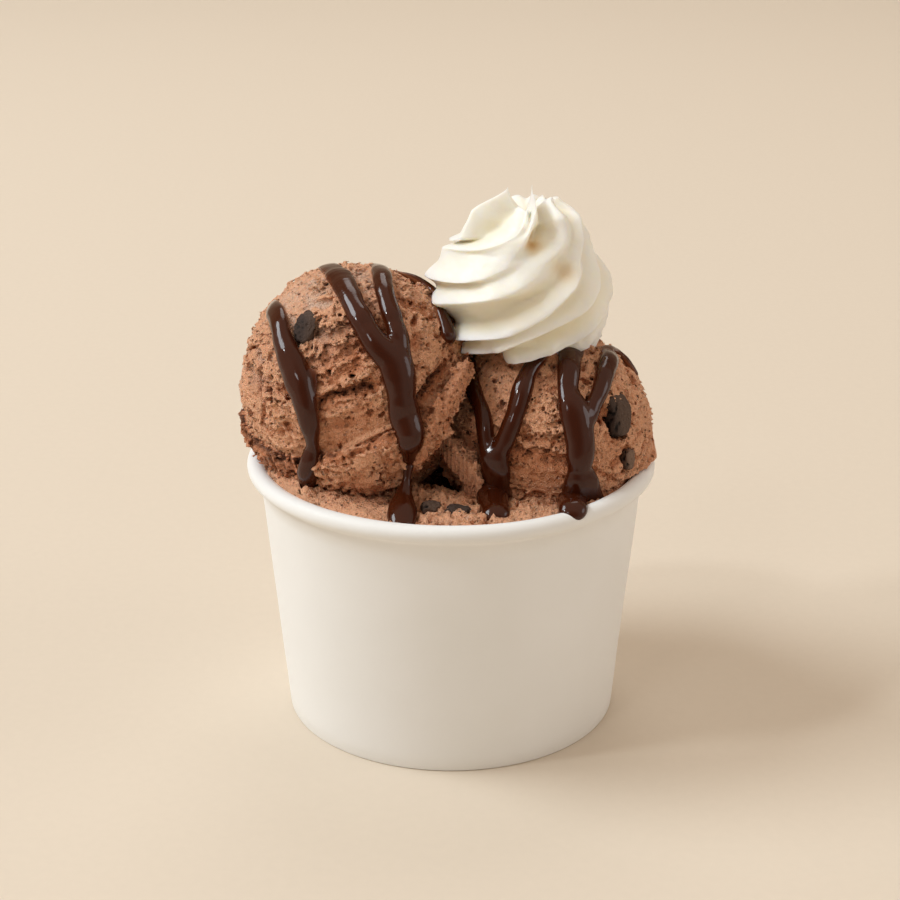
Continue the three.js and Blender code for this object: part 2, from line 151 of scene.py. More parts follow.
def towards(azimuth: float, elevation: float) -> np.ndarray:
    """The direction at an azimuth, from +X towards +Y, and an elevation.

    Args:
        azimuth: degrees from +X towards +Y.
        elevation: degrees above level.

    Returns:
        The direction, with a length of 1.
    """
    turn, rise = math.radians(azimuth), math.radians(elevation)
    return np.array(
        [math.cos(rise) * math.cos(turn), math.cos(rise) * math.sin(turn), math.sin(rise)]
    )


def unit(vectors: np.ndarray) -> np.ndarray:
    """The same directions with a length of 1."""
    return vectors / np.maximum(np.linalg.norm(vectors, axis=-1, keepdims=True), 1e-9)


def smooth_curve(points: np.ndarray, count: int) -> np.ndarray:
    """Places along a smooth curve through every row of `points`.

    Args:
        points: the rows that the curve goes through, of any width.
        count: how many places to give, from the first row to the last.

    Returns:
        The places, one in each row.
    """
    ends = [2 * points[0] - points[1], *points, 2 * points[-1] - points[-2]]
    padded = np.array(ends, dtype=float)
    place = np.linspace(0, len(points) - 1, count)
    index = np.minimum(place.astype(int), len(points) - 2)
    t = (place - index)[:, None]
    a, b, c, d = (padded[index + k] for k in range(4))
    return 0.5 * (
        2 * b + (c - a) * t + (2 * a - 5 * b + 4 * c - d) * t**2 + (3 * b - a - 3 * c + d) * t**3
    )


# ---------------- meshes


def hold_values(mesh: bpy.types.Mesh, values: dict[str, np.ndarray]) -> None:
    """Writes named values into a mesh, for its finish to read.

    Args:
        mesh: the mesh.
        values: for each name, one value for each corner.
    """
    for key, value in values.items():
        layer = mesh.attributes.new(key, "FLOAT", "POINT")
        layer.data.foreach_set("value", value.astype(np.float32))


@dataclass
class Skin:
    """A mesh in the making: its corners in millimetres, its faces and its values per corner."""

    corners: np.ndarray
    quads: np.ndarray
    triangles: np.ndarray
    values: dict[str, np.ndarray] = field(default_factory=dict)

    def triangle_count(self) -> int:
        """How many triangles the skin's faces make."""
        return 2 * len(self.quads) + len(self.triangles)

    def all_triangles(self) -> np.ndarray:
        """Every face as triangles, with each quad split in two."""
        halves = [self.quads[:, [0, 1, 2]], self.quads[:, [0, 2, 3]]] if len(self.quads) else []
        return np.concatenate([*halves, self.triangles.reshape(-1, 3)])

    def facing_out(self) -> Skin:
        """Turns every face round if the skin encloses a negative volume, and returns the skin.

        Returns:
            The same skin.
        """
        a, b, c = (self.corners[self.all_triangles()[:, k]] for k in range(3))
        if np.einsum("ij,ij->", a, np.cross(b, c)) < 0:
            self.quads = self.quads[:, ::-1]
            self.triangles = self.triangles[:, ::-1]
        return self

    def without_scraps(self) -> Skin:
        """Keeps only the biggest connected piece of the skin, and returns it.

        Returns:
            The same skin.
        """
        edges = self.all_triangles()
        label = np.arange(len(self.corners))
        while True:
            least = label[edges].min(axis=1)
            before = label.copy()
            for k in range(3):
                np.minimum.at(label, edges[:, k], least)
            label = label[label]
            if np.array_equal(before, label):
                break
        names, sizes = np.unique(label, return_counts=True)
        kept = label == names[np.argmax(sizes)]
        renamed = np.cumsum(kept) - 1
        self.quads = renamed[self.quads[kept[self.quads].all(axis=1)]]
        self.triangles = renamed[self.triangles[kept[self.triangles].all(axis=1)]]
        self.corners = self.corners[kept]
        return self

    def build(self, name: str) -> bpy.types.Object:
        """Makes the Blender object.

        Args:
            name: the object's and the mesh's name.

        Returns:
            The object, smooth shaded and linked to the scene.
        """
        mesh = bpy.data.meshes.new(name)
        corners = (self.corners * MM).astype(np.float32)
        loops = np.concatenate([self.quads.ravel(), self.triangles.ravel()]).astype(np.int32)
        sides = [4] * len(self.quads) + [3] * len(self.triangles)
        starts = np.concatenate([[0], np.cumsum(sides)[:-1]]).astype(np.int32)
        mesh.vertices.add(len(corners))
        mesh.vertices.foreach_set("co", corners.ravel())
        mesh.loops.add(len(loops))
        mesh.loops.foreach_set("vertex_index", loops)
        mesh.polygons.add(len(sides))
        mesh.polygons.foreach_set("loop_start", starts)
        mesh.update(calc_edges=True)
        mesh.shade_smooth()
        hold_values(mesh, self.values)
        piece = bpy.data.objects.new(name, mesh)
        bpy.context.scene.collection.objects.link(piece)
        return piece


def sheet_faces(rows: int, columns: int, closed: bool = True) -> np.ndarray:
    """Quads of a grid of corners that are numbered row by row.

    Args:
        rows: rows of corners.
        columns: corners in a row.
        closed: whether the last column joins the first.

    Returns:
        The quads, four corner numbers in each row.
    """
    across = columns if closed else columns - 1
    row, column = np.meshgrid(np.arange(rows - 1), np.arange(across), indexing="ij")
    here = (row * columns + column).ravel()
    right = (row * columns + (column + 1) % columns).ravel()
    return np.stack([here, right, right + columns, here + columns], axis=1)


def capped_grid(grid: np.ndarray, first: np.ndarray, last: np.ndarray) -> Skin:
    """Closes a tube-shaped grid of points with one point at either end.

    Args:
        grid: points as rows x columns x 3, closed round each row.
        first: the point before the first row.
        last: the point after the last row.

    Returns:
        The closed skin, facing out.
    """
    rows, columns, _ = grid.shape
    corners = np.concatenate([grid.reshape(-1, 3), [first, last]])
    round_row = np.arange(columns)
    beside = (round_row + 1) % columns
    top = (rows - 1) * columns
    start, end = rows * columns, rows * columns + 1
    caps = np.concatenate([
        np.stack([np.full(columns, start), beside, round_row], axis=1),
        np.stack([np.full(columns, end), top + round_row, top + beside], axis=1),
    ])
    return Skin(corners, sheet_faces(rows, columns), caps).facing_out()


def turned_skin(outline: np.ndarray, columns: int) -> Skin:
    """A closed ring turned about the Z axis.

    Args:
        outline: closed section of [radius, height] points, without a repeated end.
        columns: steps round the axis.

    Returns:
        The ring's skin, facing out.
    """
    turn = np.linspace(0, 2 * math.pi, columns, endpoint=False)
    ring = np.stack(
        [
            outline[:, None, 0] * np.cos(turn),
            outline[:, None, 0] * np.sin(turn),
            outline[:, None, 1] * np.ones_like(turn),
        ],
        axis=-1,
    )
    closed = np.concatenate([ring, ring[:1]])
    quads = sheet_faces(len(closed), columns) % (len(outline) * columns)
    return Skin(ring.reshape(-1, 3), quads, np.zeros((0, 3), int)).facing_out()


@dataclass
class Block:
    """A block of cells in which a shape is worked out as a field, negative inside."""

    low: np.ndarray
    high: np.ndarray
    cell: float

    def __post_init__(self) -> None:
        """Counts the cells along each side."""
        self.low = np.asarray(self.low, float)
        counts = np.ceil((np.asarray(self.high, float) - self.low) / self.cell).astype(int) + 1
        self.sides = [self.low[k] + self.cell * np.arange(counts[k]) for k in range(3)]
        self.shape = tuple(counts)

    def points(self) -> np.ndarray:
        """Every cell's middle, as a grid of points."""
        return np.stack(np.meshgrid(*self.sides, indexing="ij"), axis=-1).astype(np.float32)

    def skin_of(self, values: np.ndarray, adaptivity: float, all_pieces: bool = False) -> Skin:
        """The surface where the field passes zero.

        Args:
            values: the field in every cell.
            adaptivity: how readily flat neighbouring faces are joined, from 0 to 1.
            all_pieces: whether to keep every closed skin instead of the biggest only.

        Returns:
            The closed skin in the block, facing out.
        """
        away = np.float32(3 * self.cell)
        grid = openvdb.FloatGrid(float(away))
        grid.copyFromArray(np.clip(values, -away, away).astype(np.float32))
        corners, triangles, quads = grid.convertToPolygons(isovalue=0.0, adaptivity=adaptivity)
        placed = self.low + self.cell * np.asarray(corners, float)
        skin = Skin(placed, np.asarray(quads, np.int64).reshape(-1, 4),
                    np.asarray(triangles, np.int64).reshape(-1, 3))
        return (skin if all_pieces else skin.without_scraps()).facing_out()


# ---------------- scoops of ice cream


@dataclass(frozen=True)
class Tear:
    """A ledge along one latitude of a scoop: the skin over it hangs out over the skin below."""

    level: float
    start: float
    end: float
    depth: float
    recovery: float = 0.09


@dataclass(frozen=True)
class Collar:
    """The ragged band that the scoop's edge leaves, higher on one side and widest in front.

    Over the azimuths in `raised` its lower edge is `raised_by` higher.
    """

    top: float
    bottom: float
    flare: float
    undercut: float
    swing: float
    lead: float
    front: tuple[float, float] = (-40.0, 80.0)
    raised: tuple[float, float] = (36.0, 100.0)
    raised_by: float = 0.0


@dataclass(frozen=True)
class Patch:
    """A round spot on a scoop, by its middle and its half sizes, with a strength."""

    level: float
    azimuth: float
    high: float
    wide: float
    strength: float


@dataclass(frozen=True)
class Mark:
    """A cut or, with a negative depth, a ridge along a path of levels and azimuths.

    `flat` squares its section off, `taper` thins its last stretch and `crumb` roughens it.
    """

    path: Pairs
    width: float
    depth: float
    flat: float = 1.0
    taper: float = 0.0
    crumb: float = 0.0


@dataclass(frozen=True)
class Slab:
    """A strip of ice cream that stands off the ball along a path of levels and azimuths.

    `lift` is how far its middle is out of the ball, `end_share` how much of its width is left at
    its last end and `crumb` how rough it is; its paleness is painted light, as if the strip were
    lit.
    """

    path: Pairs
    lift: float
    half_width: float
    half_thick: float
    end_share: float = 1.0
    crumb: float = 0.4
    # Painted light: how much paler the strip is painted.
    pale: float = 0.0


@dataclass(frozen=True)
class Pocket:
    """A hole in the skin round a cookie piece: its middle, half sizes and turn about Z."""

    at: Triple
    half: Triple
    turn: float

    def field(self, points: np.ndarray) -> np.ndarray:
        """The field of the uneven hole, negative inside it.

        Args:
            points: the places to work out.

        Returns:
            One value for each point.
        """
        turn = math.radians(self.turn)
        away = points - np.array(self.at, np.float32)
        x = away[:, 0] * math.cos(turn) + away[:, 1] * math.sin(turn)
        y = -away[:, 0] * math.sin(turn) + away[:, 1] * math.cos(turn)
        scaled = np.stack([x, y, away[:, 2]], axis=1) / np.array(self.half, np.float32)
        size = np.linalg.norm(scaled, axis=1)
        uneven = 0.20 * unevenness(points * 0.8, 41) + 0.12 * unevenness(points * 1.9, 42)
        return (size - 1 + uneven) * min(self.half)


@dataclass(frozen=True)
class ScoopShape:
    """The form of one scoop: a ball with lumps, torn along latitudes about a tilted pole."""

    name: str
    centre: Triple
    radius: float
    pole: Triple
    seed: int
    tears: tuple[Tear, ...]
    collar: Collar
    smooth_patches: tuple[Patch, ...] = ()
    dents: tuple[Patch, ...] = ()
    collar_rises: tuple[Patch, ...] = ()
    marks: tuple[Mark, ...] = ()
    slabs: tuple[Slab, ...] = ()
    pockets: tuple[Pocket, ...] = ()
    lump_height: float = 0.8
    lump_rate: float = 2.3
    tear_lip: float = 0.35
    overhang: float = 1.1
    row_pitch: float = 1.75
    row_depth: float = 1.5
    crack_depth: float = 1.3
    pore_depth: float = 1.5
    hole_depth: float = 1.7
    grain_height: float = 0.34
    crumb_height: float = 1.15

    def axes(self) -> np.ndarray:
        """The scoop's own directions as rows: to the front, to the right and along the pole.

        Returns:
            Three directions, one in each row.
        """
        pole = unit(np.array(self.pole))
        front = np.array([0.0, -1.0, 0.0])
        front = unit(front - front.dot(pole) * pole)
        return np.array([front, np.cross(pole, front), pole])

    def direction_at(self, level: float, azimuth: float) -> np.ndarray:
        """The direction from the centre at a level and an azimuth about the pole.

        Args:
            level: the sine of the height over the scoop's middle.
            azimuth: degrees from the front to the right.

        Returns:
            The direction, with a length of 1.
        """
        across = math.sqrt(max(0.0, 1 - level * level))
        turn = math.radians(azimuth)
        return np.array([across * math.cos(turn), across * math.sin(turn), level]) @ self.axes()

    def ball_radius(self, direction: np.ndarray) -> np.ndarray:
        """How far the lumpy ball's skin is from the centre, for each direction."""
        place = direction * self.lump_rate
        return self.radius + self.lump_height * unevenness(place, self.seed)

    def collar_tilt(self, azimuth: np.ndarray, level: np.ndarray) -> np.ndarray:
        """How much higher the collar and the tears run at each azimuth."""
        swing = self.collar.swing * np.sin(np.radians(azimuth + self.collar.lead))
        return swing * (1 - level * level)

    def collar_lift(self, azimuth: np.ndarray) -> np.ndarray:
        """How much the collar's top edge rises at each azimuth.

        Args:
            azimuth: degrees from the front to the right.

        Returns:
            A change of level for each azimuth.
        """
        lift = np.zeros_like(azimuth)
        for rise in self.collar_rises:
            lift = lift + rise.strength * bump_at(turn_between(azimuth, rise.azimuth), rise.wide)
        return lift


def turn_between(azimuth: np.ndarray, other: float) -> np.ndarray:
    """The turn from one azimuth to another, between -180 and 180 degrees."""
    return (azimuth - other + 180) % 360 - 180


def within_span(azimuth: np.ndarray, start: float, end: float, fade: float = 14) -> np.ndarray:
    """1 inside a span of azimuths, falling to 0 over its first and last degrees."""
    place = start + (azimuth - start) % 360
    return smooth_between(place, start, start + fade) * smooth_between(place, end, end - fade)


@dataclass
class TornField:
    """Works out a scoop's surface at many points, with everything finer than the ball."""

    shape: ScoopShape
    points: np.ndarray

    def __post_init__(self) -> None:
        """Turns the points into heights, levels and azimuths about the scoop's pole."""
        shape = self.shape
        away = self.points - np.array(shape.centre, np.float32)
        self.distance = np.linalg.norm(away, axis=1)
        self.direction = away / np.maximum(self.distance, 1e-6)[:, None]
        self.local = (away @ shape.axes().T).astype(np.float32)
        turned = self.local / np.maximum(self.distance, 1e-6)[:, None]
        self.azimuth = np.degrees(np.arctan2(turned[:, 1], turned[:, 0]))
        self.ball = shape.ball_radius(self.direction)
        self.height = self.distance - self.ball
        level = turned[:, 2]
        wander = 0.030 * unevenness(self.local * 0.16, shape.seed + 3)
        wander += 0.022 * unevenness(self.local * 0.45, shape.seed + 4)
        wander += 0.013 * unevenness(self.local * 1.1, shape.seed + 5)
        hang = shape.overhang * np.clip(self.height, -2.5, 2.5) / shape.radius
        self.true_level = level
        upright = level - shape.collar_tilt(self.azimuth, level) + wander * (1 - level**4)
        self.level = upright + hang
        self.rim_level = upright - 0.35 * hang
        self.smooth = self.smoothness()
        self.band, self.under = self.collar_band()
        self.weights = [self.mark_weight(mark) for mark in shape.marks]

    def patch(self, patch: Patch) -> np.ndarray:
        """How strongly each point lies in a patch, between 0 and 1.

        Args:
            patch: the spot.

        Returns:
            One share for each point.
        """
        across = turn_between(self.azimuth, patch.azimuth) / patch.wide
        along = (self.true_level - patch.level) / patch.high
        return np.exp(-np.square(across) - np.square(along))

    def smoothness(self) -> np.ndarray:
        """1 where the skin was wiped smooth, 0 where it is torn and porous.

        Returns:
            One share for each point.
        """
        smooth = np.zeros(len(self.points), np.float32)
        for patch in self.shape.smooth_patches:
            smooth = np.maximum(smooth, patch.strength * self.patch(patch))
        drift = 0.30 * unevenness(self.local * 0.24, self.shape.seed + 11)
        return np.clip(smooth + drift * (1 - smooth), 0, 1)

    def mark_weight(self, mark: Mark) -> np.ndarray:
        """How strongly each point lies on a mark, between 0 and 1.

        Args:
            mark: the cut or ridge.

        Returns:
            One share for each point.
        """
        radius = self.shape.radius
        route = np.array([self.shape.direction_at(*place) for place in mark.path])
        line = unit(smooth_curve(route, 24)) * radius
        here = self.direction * radius
        middle = (line[0] + line[-1]) / 2
        reach = np.linalg.norm(line - middle, axis=1).max() + 2.5 * mark.width
        close = np.linalg.norm(here - middle, axis=1) < reach
        here = here[close]
        near = np.full(len(here), 1e3)
        for part, place in zip(np.linspace(0, 1, len(line)), line):
            width = mark.width * (1 - mark.taper * part**2)
            near = np.minimum(near, np.sum(np.square(here - place), axis=1) / width**2)
        weight = np.zeros(len(close), np.float32)
        weight[close] = np.exp(-(near**mark.flat))
        return weight

    def tears(self) -> np.ndarray:
        """The ledges: out above each tear, in below it.

        Returns:
            One height over the ball for each point.
        """
        relief = np.zeros(len(self.points), np.float32)
        for tear in self.shape.tears:
            below = tear.level - self.level
            strength = tear.depth * within_span(self.azimuth, tear.start, tear.end)
            under = np.exp(-np.clip(below, 0, None) / tear.recovery)
            over = self.shape.tear_lip * np.exp(np.clip(below, None, 0) / tear.recovery)
            relief += strength * np.where(below > 0, -under, over)
        return relief

    def collar_band(self) -> tuple[np.ndarray, np.ndarray]:
        """Where the collar's band is, and where the surface has gone under it.

        Returns:
            Both shares for each point.
        """
        collar = self.shape.collar
        top = collar.top + self.shape.collar_lift(self.azimuth)
        ragged = 0.05 * unevenness(self.local * 0.45, self.shape.seed + 21)
        ragged += 0.035 * unevenness(self.local * 1.2, self.shape.seed + 22)
        band = smooth_between(self.rim_level, top + 0.006, top - 0.006)
        raised = within_span(self.azimuth, *collar.raised, 12)
        bottom = collar.bottom + collar.raised_by * raised + ragged
        held = smooth_between(self.level, bottom - 0.006, bottom + 0.006)
        return band * held, (1 - held)

    def collar_relief(self) -> np.ndarray:
        """The collar's flare with a second ledge in it, and the undercut below.

        Returns:
            One height over the ball for each point.
        """
        collar = self.shape.collar
        top = collar.top + self.shape.collar_lift(self.azimuth)
        second = smooth_between(self.rim_level, top - 0.075, top - 0.060)
        share = 0.55 + 0.45 * within_span(self.azimuth, *collar.front, 24)
        flare = collar.flare * share * (1 - 0.38 * second)
        back = 1 - smooth_between(self.level, collar.bottom, -0.8)
        return self.band * flare - self.under * collar.undercut * back

    def loose(self) -> np.ndarray:
        """1 where the ice cream came off as crumbs: on the collar and on crumbly marks.

        Returns:
            One share for each point.
        """
        loose = 0.9 * self.band * (1 - self.smooth)
        for mark, weight in zip(self.shape.marks, self.weights):
            loose = loose + mark.crumb * weight
        return np.clip(loose, 0, 1)

    def crumb(self) -> np.ndarray:
        """Rows, pores, holes and grains of the torn surface.

        Returns:
            One height over the ball for each point.
        """
        shape = self.shape
        seed = shape.seed
        torn = 1 - self.smooth
        loose = self.loose()
        rows = self.level * shape.radius / shape.row_pitch
        slow = self.local * np.array([0.15, 0.15, 0.25], np.float32)
        rows = rows + 1.3 * unevenness(slow, seed + 31)
        rows = rows + 0.22 * unevenness(self.local * 0.85, seed + 39)
        saw = (-rows) % 1.0
        rowed = smooth_between(unevenness(self.local * 0.26, seed + 32), -0.40, 0.20)
        edge = 0.55 * saw + 0.45 * saw**6 - 0.35
        relief = shape.row_depth * edge * rowed * torn * (1 - loose)
        stretched = self.local * np.array([1.0, 1.0, 1.5], np.float32)
        pores = unevenness(stretched * 1.05, seed + 33)
        pores = pores + 0.7 * unevenness(self.local * 2.1, seed + 34)
        relief -= shape.pore_depth * smooth_between(pores, 0.50, 0.80) * np.maximum(torn, loose)
        relief -= 0.30 * smooth_between(pores, 0.70, 1.0) * self.smooth
        lines = unevenness(self.local * np.array([0.17, 0.17, 0.75], np.float32), seed + 43)
        lines = np.abs(lines + 0.30 * unevenness(self.local * 1.1, seed + 44))
        cracked = smooth_between(unevenness(self.local * 0.21, seed + 45), -0.15, 0.25)
        relief -= shape.crack_depth * bump_at(lines, 0.22) * cracked * torn * (1 - loose)
        grains = unevenness(self.local * 1.7, seed + 35)
        relief += (0.06 + shape.grain_height * np.maximum(torn, loose)) * grains
        holes = unevenness(self.local * np.array([0.46, 0.46, 0.75], np.float32), seed + 37)
        relief -= shape.hole_depth * smooth_between(holes, 0.50, 0.66) * (0.15 + 0.85 * torn)
        lumps = np.abs(unevenness(self.local * 0.62, seed + 40))
        lumps = lumps + 0.55 * np.abs(unevenness(self.local * 1.25, seed + 41))
        relief += shape.crumb_height * (lumps - 0.35) * (0.28 * torn + 1.8 * loose)
        streaks = unevenness(self.local * np.array([0.12, 0.12, 2.0], np.float32), seed + 38)
        return relief + 0.09 * streaks * self.smooth

    def cuts(self) -> np.ndarray:
        """Dents and marks, as depths below the skin.

        Returns:
            One depth for each point.
        """
        depth = np.zeros(len(self.points), np.float32)
        for dent in self.shape.dents:
            depth += dent.strength * self.patch(dent)
        for mark, weight in zip(self.shape.marks, self.weights):
            depth += mark.depth * weight
        return depth

    def slab_field(self, slab: Slab) -> np.ndarray:
        """The field of a strip that stands off the ball, negative inside it.

        Args:
            slab: the strip.

        Returns:
            One value for each point.
        """
        shape = self.shape
        route = np.array([shape.direction_at(*place) for place in slab.path])
        line = unit(smooth_curve(route, 36))
        places = line * (shape.radius + slab.lift)
        away = self.points - np.array(shape.centre, np.float32)
        middle = (places.min(axis=0) + places.max(axis=0)) / 2
        reach = np.linalg.norm(places - middle, axis=1).max() + slab.half_width + 3
        close = np.linalg.norm(away - middle, axis=1) < reach
        near = away[close].astype(np.float32)
        best = np.full(len(near), 9.0, np.float32)
        for part, up, place in zip(np.linspace(0, 1, len(line)), line, places):
            offset = near - place.astype(np.float32)
            high = offset @ up.astype(np.float32)
            flat = np.maximum(np.sum(offset * offset, axis=1) - high * high, 0)
            width = slab.half_width * (1 + (slab.end_share - 1) * part)
            size = np.sqrt(flat / width**2 + (high / slab.half_thick) ** 2)
            best = np.minimum(best, (size - 1) * slab.half_thick)
        lumps = np.abs(unevenness(near * 0.62, 91)) + 0.6 * np.abs(unevenness(near * 1.3, 92))
        pores = unevenness(near * 1.0, 93) + 0.7 * unevenness(near * 2.0, 94)
        best -= slab.crumb * 1.5 * (lumps - 0.4)
        best += (0.4 + 0.6 * slab.crumb) * smooth_between(pores, 0.40, 0.90)
        value = np.full(len(away), 9.0, np.float32)
        value[close] = best
        return value

    def relief(self) -> np.ndarray:
        """All relief over the lumpy ball."""
        return self.tears() + self.collar_relief() + self.crumb() - self.cuts()

    def field(self) -> np.ndarray:
        """The scoop's field, negative inside: pockets and what is under the seat are cut out.

        Returns:
            One value for each point.
        """
        value = self.height - self.relief()
        for slab in self.shape.slabs:
            value = smooth_least(value, self.slab_field(slab), 0.5)
        for pocket in self.shape.pockets:
            value = np.maximum(value, -pocket.field(self.points))
        x, y, z = self.points.T
        beyond = np.where(z < CUP_HEIGHT, np.hypot(x, y) - MOUTH_RADIUS, -9.0)
        return np.maximum.reduce([value, beyond, SEAT_HEIGHT - z])


@dataclass
class Scoop:
    """One scoop of ice cream, from its shape to its finished piece."""

    shape: ScoopShape
    node: str
    cell: float = 0.30
    coarse_step: int = 3
    near: float = 1.8
    reach_in: float = 5.0
    reach_out: float = 4.4
    most_triangles: int = 192_000
    # Painted light: the scoop is painted paler, in a frost tone, on the side facing this
    # direction, which is towards the key light.
    painted_light_from: Triple = (-0.55, 0.05, 0.83)
    painted_light_share: float = 1.0
    # How far torn areas are lifted out of the painted pit shade, towards the painted highlight.
    torn_painted_lift: float = 0.7

    def field_in(self, block: Block, asked: np.ndarray | None) -> np.ndarray:
        """The scoop's field in a block, worked out only in the cells asked for.

        Args:
            block: the block of cells.
            asked: which cells to work out, or None for those near the ball's skin.

        Returns:
            The field as a flat array, with rough values in the cells left out.
        """
        shape = self.shape
        points = block.points().reshape(-1, 3)
        centre = np.array(shape.centre, np.float32)
        away = np.linalg.norm(points - centre, axis=1) - shape.radius
        values = np.maximum(away, SEAT_HEIGHT - points[:, 2])
        if asked is None:
            asked = (away > -self.reach_in) & (away < self.reach_out)
        values[asked] = TornField(shape, points[asked]).field()
        return values

    def make_skin(self) -> Skin:
        """Finds the skin in coarse cells, works it out again in fine ones and meshes it.

        Returns:
            The closed skin.
        """
        centre = np.array(self.shape.centre)
        size = self.shape.radius + self.reach_out
        low = centre - size
        low[2] = max(low[2], SEAT_HEIGHT - 2 * self.cell)
        coarse = Block(low, centre + size, self.coarse_step * self.cell)
        rough = self.field_in(coarse, None).reshape(coarse.shape)
        fine = Block(low, centre + size, self.cell)
        nearest = [
            np.minimum(np.rint(np.arange(count) / self.coarse_step).astype(int), limit - 1)
            for count, limit in zip(fine.shape, coarse.shape)
        ]
        guess = rough[np.ix_(*nearest)]
        asked = (np.abs(guess) < self.near).ravel()
        values = guess.ravel()
        values[asked] = self.field_in(fine, asked)[asked]
        return fine.skin_of(values.reshape(fine.shape), 0.0)

    def colour_values(self, corners: np.ndarray) -> dict[str, np.ndarray]:
        """What the finish needs to know at each corner: depth, smoothness and a painted light
        share.

        The depth drives painted shade in hollows and a painted highlight on raised relief; the
        last share paints the side facing the key light paler, in a frost tone.

        Args:
            corners: the mesh's corners.

        Returns:
            The values by name.
        """
        surface = TornField(self.shape, corners.astype(np.float32))
        # Painted light: paler on the side that faces the key light.
        facing = surface.direction @ unit(np.array(self.painted_light_from))
        frost_and_painted_light = self.painted_light_share * smooth_between(facing, 0.35, 0.95)
        # Painted shade and highlight: points deep below the ball, and under the collar, are
        # painted darker, and raised relief lighter.
        depth = self.shape.collar.flare * surface.band - surface.height
        # Torn areas are lifted out of the painted shade, towards the painted highlight.
        depth = depth - self.torn_painted_lift * (1 - surface.smooth) * (1 - surface.band)
        for slab in self.shape.slabs:
            # Painted light: a slab is painted paler and left out of the painted shade.
            on_slab = smooth_between(surface.slab_field(slab), 0.8, 0.2)
            frost_and_painted_light = np.maximum(frost_and_painted_light, slab.pale * on_slab)
            depth = depth * (1 - on_slab)
        return {"depth": depth, "smooth": surface.smooth * (1 - surface.band), "frost_and_painted_light": frost_and_painted_light}

    def make(self, finish: Material) -> bpy.types.Object:
        """Builds the piece, thins its flatter triangles and gives it its finish.

        Args:
            finish: the ice cream's material.

        Returns:
            The piece.
        """
        skin = self.make_skin()
        piece = thinned(skin.build(self.shape.name), self.most_triangles / skin.triangle_count())
        corners = np.empty(3 * len(piece.data.vertices), np.float32)
        piece.data.vertices.foreach_get("co", corners)
        hold_values(piece.data, self.colour_values(corners.reshape(-1, 3) / MM))
        return dressed(piece, finish, Slot.ICE_CREAM, self.node)


def thinned(piece: bpy.types.Object, share: float) -> bpy.types.Object:
    """Joins triangles where a piece is flattest.

    Args:
        piece: the piece's object.
        share: the share of its triangles to keep; from 1 up, all stay.

    Returns:
        The same object.
    """
    if share < 1:
        modifier = piece.modifiers.new("thinned", "DECIMATE")
        modifier.ratio = share
        graph = bpy.context.evaluated_depsgraph_get()
        mesh = bpy.data.meshes.new_from_object(piece.evaluated_get(graph))
        piece.modifiers.remove(modifier)
        full = piece.data
        piece.data = mesh
        bpy.data.meshes.remove(full)
        mesh.name = piece.name
        mesh.shade_smooth()
    return piece


def dressed(
    piece: bpy.types.Object, finish: Material, slot: Slot, *nodes: str
) -> bpy.types.Object:
    """Gives a piece its finish and its place in the frame.

    Args:
        piece: the piece's object.
        finish: its material.
        slot: the record's slot that the finish belongs to; not used.
        nodes: the solids that the piece stands for.

    Returns:
        The same object.
    """
    piece.data.materials.append(finish)
    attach(piece, BODY)
    if nodes:
        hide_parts(*nodes)
    return piece


# ---------------- fudge


@dataclass(frozen=True)
class Bead:
    """One place in a run of fudge: its middle, its upward direction and its half sizes."""

    middle: np.ndarray
    up: np.ndarray
    half_width: float
    half_height: float


@dataclass(frozen=True)
class Stream:
    """A run of fudge over a scoop: [azimuth, elevation, width] along its middle."""

    path: tuple[Triple, ...]
    height: float = 0.40
    end_swell: float = 0.0
    thin_start: float = 0.18
    most_height: float = 2.4

    def beads(self, shape: ScoopShape, step: float) -> list[Bead]:
        """Places close along the run.

        Args:
            shape: the scoop that the fudge lies on.
            step: room between two places.

        Returns:
            The run's beads in order.
        """
        rows = [[*towards(azimuth, rise), width] for azimuth, rise, width in self.path]
        length = sum(
            float(np.linalg.norm(np.subtract(a[:3], b[:3]))) for a, b in zip(rows, rows[1:])
        )
        count = max(8, int(length * shape.radius / step))
        curve = smooth_curve(np.array(rows), count)
        up = unit(curve[:, :3])
        surface = TornField(shape, (np.array(shape.centre) + up * shape.radius).astype(np.float32))
        ledge = surface.collar_relief()
        eased = np.convolve(np.pad(ledge, 6, mode="edge"), np.ones(13) / 13, mode="valid")
        lift = surface.ball + 0.85 * np.maximum(eased, 0)
        width = curve[:, 3] * (1 + 0.09 * unevenness(up * 8, shape.seed + 51))
        part = np.linspace(0, 1, count)
        swell = 1 + self.end_swell * smooth_between(part, 0.75, 0.95)
        thin = 0.30 + 0.70 * smooth_between(part, 0.0, self.thin_start)
        high = np.minimum(width * self.height, self.most_height) * swell * thin
        places = np.array(shape.centre) + up * (lift + 0.12 * width * thin)[:, None]
        return [Bead(*bead) for bead in zip(places, up, width / 2, high)]


@dataclass(frozen=True)
class Spill:
    """A run of fudge on the ice cream in the cup: [x, y, z, width] along its middle."""

    path: Rows
    up: Triple = (0.0, -0.45, 0.9)
    height: float = 0.34

    def beads(self, shape: ScoopShape, step: float) -> list[Bead]:
        """Places close along the run.

        Args:
            shape: the scoop nearby, which the run doesn't need.
            step: room between two places.

        Returns:
            The run's beads in order.
        """
        rows = np.array(self.path)
        length = np.linalg.norm(np.diff(rows[:, :3], axis=0), axis=1).sum()
        curve = smooth_curve(rows, max(4, int(length / step)))
        up = unit(np.array(self.up))
        return [Bead(row[:3], up, row[3] / 2, row[3] * self.height) for row in curve]


